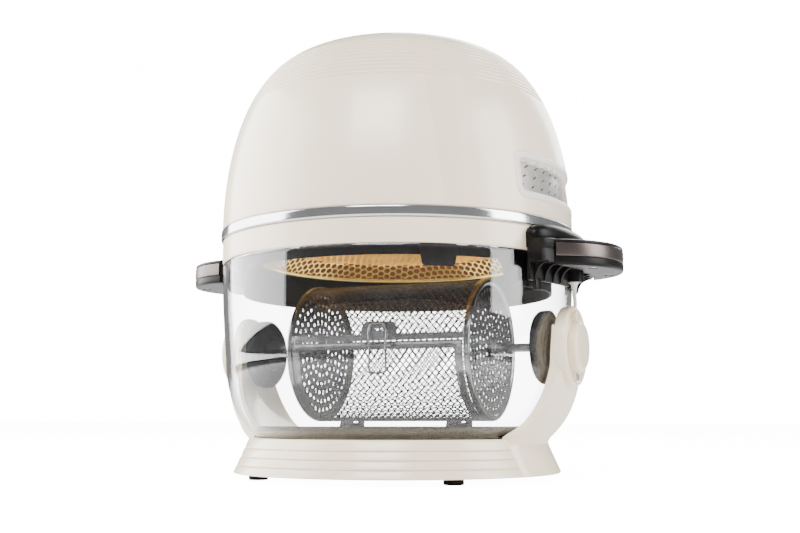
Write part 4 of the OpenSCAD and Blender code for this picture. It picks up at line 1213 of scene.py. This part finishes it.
def paddle_outline(inset, root, steps=48):
    """The D of a handle: its round edge, then back along its root."""
    r = GRIP_R - inset
    x = (root * root - r * r + GRIP_X * GRIP_X) / (2 * GRIP_X)
    y = math.sqrt(root * root - x * x)
    tip = math.atan2(y, x - GRIP_X)
    back = math.atan2(y, x)
    points = [(GRIP_X + r * math.cos(a), r * math.sin(a)) for a in spread(-tip, tip, steps)]
    points += [(root * math.cos(a), root * math.sin(a)) for a in spread(back, -back, steps // 2)[1:-1]]
    return points


def build_handle(mirrored):
    side, root = ("left", ROOT_R) if mirrored else ("right", BRACKET_R)
    z0, z1 = grip_lo.z, grip_hi.z
    t0, t1 = trim_lo.z, trim_hi.z
    levels = [(2.2, z0), (1.0, z0 + 0.25 * MM), (0.25, z0 + 1.0 * MM), (0.0, z0 + 2.2 * MM),
              (0.0, t0 - 0.5 * MM),
              (0.5, t0), (3.0, t0 + 0.05 * MM), (3.0, t1 - 0.05 * MM), (0.5, t1), (0.1, t1 + 0.6 * MM),
              (0.5, z1 - 0.9 * MM),
              (1.6, z1 - 0.3 * MM), (3.2, z1 - 0.05 * MM), (5.5, z1)]
    loops = [[(x, y, z) for x, y in paddle_outline(inset * MM, root)] for inset, z in levels]
    body = loops_mesh("paddle", loops, cap=True)
    holes = []
    for y in (-22 * MM, 22 * MM):
        ring = [(BRACKET_R + 10 * MM + 3.3 * MM * math.cos(a), y + 3.3 * MM * math.sin(a))
                for a in spread(0, 2 * math.pi, 28)[:-1]]
        holes.append(prism_z("hole", ring, z0 - 1 * MM, z0 + 2.4 * MM))
    cut(body, join("holes", holes))
    grip = body if not mirrored else mirror_x(body)
    grip.name = "grip_" + side + "_moulding"
    done(grip, DARK, "head", ["grip_" + side], sharp=40)
    build_trim(mirrored, side, root)


def build_trim(mirrored, side, root):
    """The metal strip round a handle's edge, with softly rounded edges."""
    t0, t1 = trim_lo.z + 0.05 * MM, trim_hi.z - 0.05 * MM
    section = [(2.9, t0), (0.5, t0), (0.1, t0 + 0.3 * MM), (0.0, t0 + 0.9 * MM), (-0.15, (t0 + t1) / 2),
               (0.0, t1 - 0.9 * MM), (0.1, t1 - 0.3 * MM), (0.5, t1), (2.9, t1)]
    x = (root ** 2 - GRIP_R ** 2 + GRIP_X ** 2) / (2 * GRIP_X)
    tip = math.atan2(math.sqrt(root ** 2 - x * x), x - GRIP_X) - 0.02
    loops = []
    for a in spread(-tip, tip, 72):
        loops.append([(GRIP_X + (GRIP_R - inset * MM) * math.cos(a), (GRIP_R - inset * MM) * math.sin(a), z)
                      for inset, z in section])
    strip = loops_mesh("trim_strip_" + side, loops, cap=True)
    if mirrored:
        mirror_x(strip)
    done(strip, TRIM, "head", ["trim_" + side], sharp=45)


def end_share(degrees, half, power=5.0):
    """1 across the middle of a bracket, falling in a round to 0 at its ends."""
    return max(0.0, 1 - (abs(degrees) / half) ** power) ** 0.5


def swept_sector(name, half, section, steps=64):
    """A block along the ring from -half to half degrees; section(degrees) gives its outline."""
    loops = []
    for degrees in spread(-half, half, steps):
        a = math.radians(degrees)
        loops.append([(r * math.cos(a), r * math.sin(a), z) for r, z in section(degrees)])
    return loops_mesh(name, loops, cap=True)


def rib_angles():
    """Ribs under the right bracket, left out where the lead's socket is."""
    return [a for a in spread(-22.5, 22.5, 10) if abs(a) > 5]


def build_right_bracket():
    """Bracket with a flat end face, a ledge, curved ribs, a socket pocket and a small hook."""
    low, high = bracket_lo.z + 6.2 * MM, bracket_hi.z
    inner = RIM_R + 1.3 * MM
    cove = 12 * MM
    ledge = low + cove
    half = BRACKET_HALF - 0.4

    def section(degrees):
        e = end_share(degrees, half + 0.6, 9)
        outer = inner + (BRACKET_R - inner) * (0.7 + 0.3 * e)
        return [(inner, low + 0.6 * MM), (inner + 0.5 * MM, low), (inner + 2.2 * MM, low),
                (inner + 2.6 * MM, low + 0.5 * MM),
                (inner + 2.8 * MM, ledge - 1 * MM), (inner + 3.4 * MM, ledge), (outer - 0.5 * MM, ledge),
                (outer, ledge + 0.5 * MM), (outer, RIM_Z - 0.5 * MM), (outer - 0.4 * MM, RIM_Z),
                (outer, RIM_Z + 0.5 * MM),
                (outer, high - 0.7 * MM), (outer - 0.7 * MM, high), (RING_R + 0.05 * MM, high),
                (RING_R + 0.05 * MM, RIM_Z + 1.3 * MM), (inner, RIM_Z + 1.2 * MM)]

    body = swept_sector("block", half, section)
    x = (plug_lo.x + plug_hi.x) / 2
    ring = [(x + 7 * MM * math.cos(a), 7 * MM * math.sin(a)) for a in spread(0, 2 * math.pi, 40)[:-1]]
    cut(body, prism_z("pocket", ring, low - 1 * MM, low + 17 * MM))
    parts = [body]
    arc = [(BRACKET_R + cove * math.cos(t), low + cove * math.sin(t)) for t in spread(math.pi * 0.98,
                                                                                      math.pi * 0.52,
                                                                                      10)]
    outline = [(inner + 1.6 * MM, low + 0.2 * MM)] + arc + [(BRACKET_R - 0.6 * MM, ledge + 1 * MM),
                                                            (inner + 1.6 * MM, ledge + 1 * MM)]
    for degrees in rib_angles():
        edges = [math.radians(degrees + turn) for turn in (-0.22, 0.22)]
        parts.append(loops_mesh("rib",
                                [[(r * math.cos(a), r * math.sin(a), z) for r,
                                  z in outline] for a in edges], cap=True))
    hook = block("hook", (inner + 0.4 * MM, -3 * MM, bracket_lo.z),
                 (inner + 3.2 * MM, 3 * MM, low + 1.5 * MM))
    soften(hook, 0.5 * MM, 2)
    hook.data.transform(Matrix.Rotation(math.radians(-21), 4, "Z"))
    parts.append(hook)
    done(join("bracket_right_moulding", parts), DARK, "head", ["bracket_right"], sharp=40)


def build_left_root():
    """Plain root that joins the left handle to the ring."""
    z0, z1 = grip_lo.z + 0.3 * MM, grip_hi.z - 0.2 * MM
    inner = RIM_R + 1.3 * MM

    def section(_):
        return [(inner, z0), (ROOT_R, z0), (ROOT_R, z1 - 0.4 * MM), (ROOT_R - 0.5 * MM, z1),
                (RING_R + 0.05 * MM, z1),
                (RING_R + 0.05 * MM, RIM_Z + 1.3 * MM), (inner, RIM_Z + 1.2 * MM)]

    root = swept_sector("root_left_moulding", BRACKET_HALF - 1.2, section)
    done(mirror_x(root), DARK, "head", ["bracket_left"], sharp=40)


def build_cover():
    """Rounded cover over the right handle's root."""
    low, high = cover_lo.z, cover_hi.z
    outer_max = cover_hi.x
    half = BRACKET_HALF - 0.3

    def section(degrees):
        e = end_share(degrees, half + 0.15, 7)
        outer = RING_R + (outer_max - RING_R) * (0.35 + 0.65 * e)
        top = low + (high - low) * (0.3 + 0.7 * e)
        round_r = min(7 * MM, (top - low) * 0.8, (outer - BAND_R) * 0.75)
        inner_top = BAND_R + 0.25 * MM if top > RING_TOP - 0.3 * MM else RING_R + 0.1 * MM
        rounding = [(outer - round_r + round_r * math.cos(a), top - round_r + round_r * math.sin(a))
                    for a in spread(0.0, math.pi / 2, 8)]
        return [(RING_R + 0.1 * MM, low), (outer - 0.5 * MM, low), (outer, low + 0.6 * MM)] + rounding + [
            (inner_top + 0.6 * MM, top), (inner_top, top - 0.4 * MM),
            (inner_top, min(top - 0.6 * MM, RING_TOP - 0.35 * MM)),
            (RING_R + 0.1 * MM, min(top - 0.8 * MM, RING_TOP - 0.4 * MM))]

    done(swept_sector("root_cover_moulding", half, section, 72), DARK, "head",
         ["root_cover"], sharp=50)


# ---------------------------------------------------------------- CAD nodes that keep their shape
def dress_cad_nodes():
    looks = {
        "bottom_plate": DARK, "pod_screw": ALU, "gearmotor": ALU, "magnet_rotor": MOTOR,
        "drive_socket": PAD, "idler_socket": PAD, "control_board": BOARD, "chassis": ALU, "motor": MOTOR,
        "motor_shaft": ALU, "thermostat": ALU, "handle_screws": ALU, "inlet": DARK, "lead_socket": DARK}
    for node, look in looks.items():
        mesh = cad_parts[node].data
        mesh.materials.clear()
        mesh.materials.append(look)


# ---------------------------------------------------------------- stage, lights and camera
def seen_or_lit(nodes, links, seen, lit):
    """A strength that is high where the camera looks, through glass too, and low for its light."""
    path = nodes.new("ShaderNodeLightPath")
    bounces = nodes.new("ShaderNodeMath")
    bounces.operation = "ADD"
    links.new(path.outputs["Diffuse Depth"], bounces.inputs[0])
    links.new(path.outputs["Glossy Depth"], bounces.inputs[1])
    strength = nodes.new("ShaderNodeMapRange")
    strength.inputs["To Min"].default_value = seen
    strength.inputs["To Max"].default_value = lit
    links.new(bounces.outputs["Value"], strength.inputs["Value"])
    return strength.outputs["Result"]


def add_stage():
    """A pale floor that glows like the backdrop, so that both read as plain white."""
    size = 6.0
    mesh = bpy.data.meshes.new("floor")
    mesh.from_pydata([(-size, -size, 0), (size, -size, 0), (size, size, 0), (-size, size, 0)], [],
                     [[0, 1, 2, 3]])
    floor = bpy.data.objects.new("floor", mesh)
    bpy.context.collection.objects.link(floor)
    pale = bpy.data.materials.new("floor_pale")
    pale.use_nodes = True
    nodes, links = pale.node_tree.nodes, pale.node_tree.links
    shader = nodes["Principled BSDF"]
    shader.inputs["Base Color"].default_value = (0.8, 0.8, 0.8, 1)
    shader.inputs["Roughness"].default_value = 0.6
    shader.inputs["Emission Color"].default_value = (1, 1, 1, 1)
    links.new(seen_or_lit(nodes, links, 14.0, 0.22), shader.inputs["Emission Strength"])
    mesh.materials.append(pale)
    world = bpy.data.worlds.new("studio")
    world.use_nodes = True
    nodes, links = world.node_tree.nodes, world.node_tree.links
    nodes["Background"].inputs["Color"].default_value = (1, 1, 1, 1)
    links.new(seen_or_lit(nodes, links, 16.0, 0.3), nodes["Background"].inputs["Strength"])
    bpy.context.scene.world = world


def area_lamp(name, place, target, width, height, power):
    lamp = bpy.data.lights.new(name, "AREA")
    lamp.shape = "RECTANGLE"
    lamp.size, lamp.size_y = width, height
    lamp.energy = power
    holder = bpy.data.objects.new(name, lamp)
    bpy.context.collection.objects.link(holder)
    holder.location = place
    holder.rotation_euler = (Vector(target) - Vector(place)).to_track_quat("-Z", "Y").to_euler()


def around(azimuth, distance, height):
    """A place around the object; azimuth 0 is in front, positive towards +X."""
    a = math.radians(azimuth)
    return Vector((distance * math.sin(a), -distance * math.cos(a), height))


def add_lights():
    low_middle, middle = (0, 0, 0.12), (0, 0, 0.22)
    area_lamp("left_softbox", around(-78, 1.3, 0.62), low_middle, 1.65, 1.15, 62)
    area_lamp("right_softbox", around(95, 1.3, 0.6), low_middle, 0.6, 1.1, 26)
    area_lamp("key", around(10, 1.2, 1.25), middle, 0.8, 0.6, 33)
    area_lamp("back", around(180, 1.4, 1.0), middle, 1.2, 0.8, 24)


def add_camera():
    azimuth, distance, height = 24.5, 0.8587, 0.0458
    pitch, yaw = math.radians(7.596), math.radians(-0.13)
    camera = bpy.data.cameras.new("camera")
    camera.lens = 50.39
    camera.sensor_width = 36
    camera.clip_start = 0.01
    holder = bpy.data.objects.new("camera", camera)
    bpy.context.collection.objects.link(holder)
    holder.location = around(azimuth, distance, height)
    holder.rotation_euler = (math.pi / 2 + pitch, 0, math.radians(azimuth) + yaw)
    bpy.context.scene.camera = holder


add_camera()
add_stage()
add_lights()
build_base()
for is_left in (False, True):
    build_arm(is_left)
    build_hub(is_left)
    build_end_cap(is_left)
    build_rod(is_left)
    build_vent(is_left)
    build_handle(is_left)
build_right_bracket()
build_left_root()
build_cover()
build_pod()
build_lead()
build_bowl()
build_tray()
build_basket_shell()
build_door()
build_latch()
build_dome()
build_rings()
build_panel()
build_guard()
build_skirt()
build_shield()
build_element()
build_fan("hot_air_fan", "convection_fan", 8, 20, ALU)
build_fan("motor_cooling_fan", "cooling_fan", 9, 35, FAN)
dress_cad_nodes()
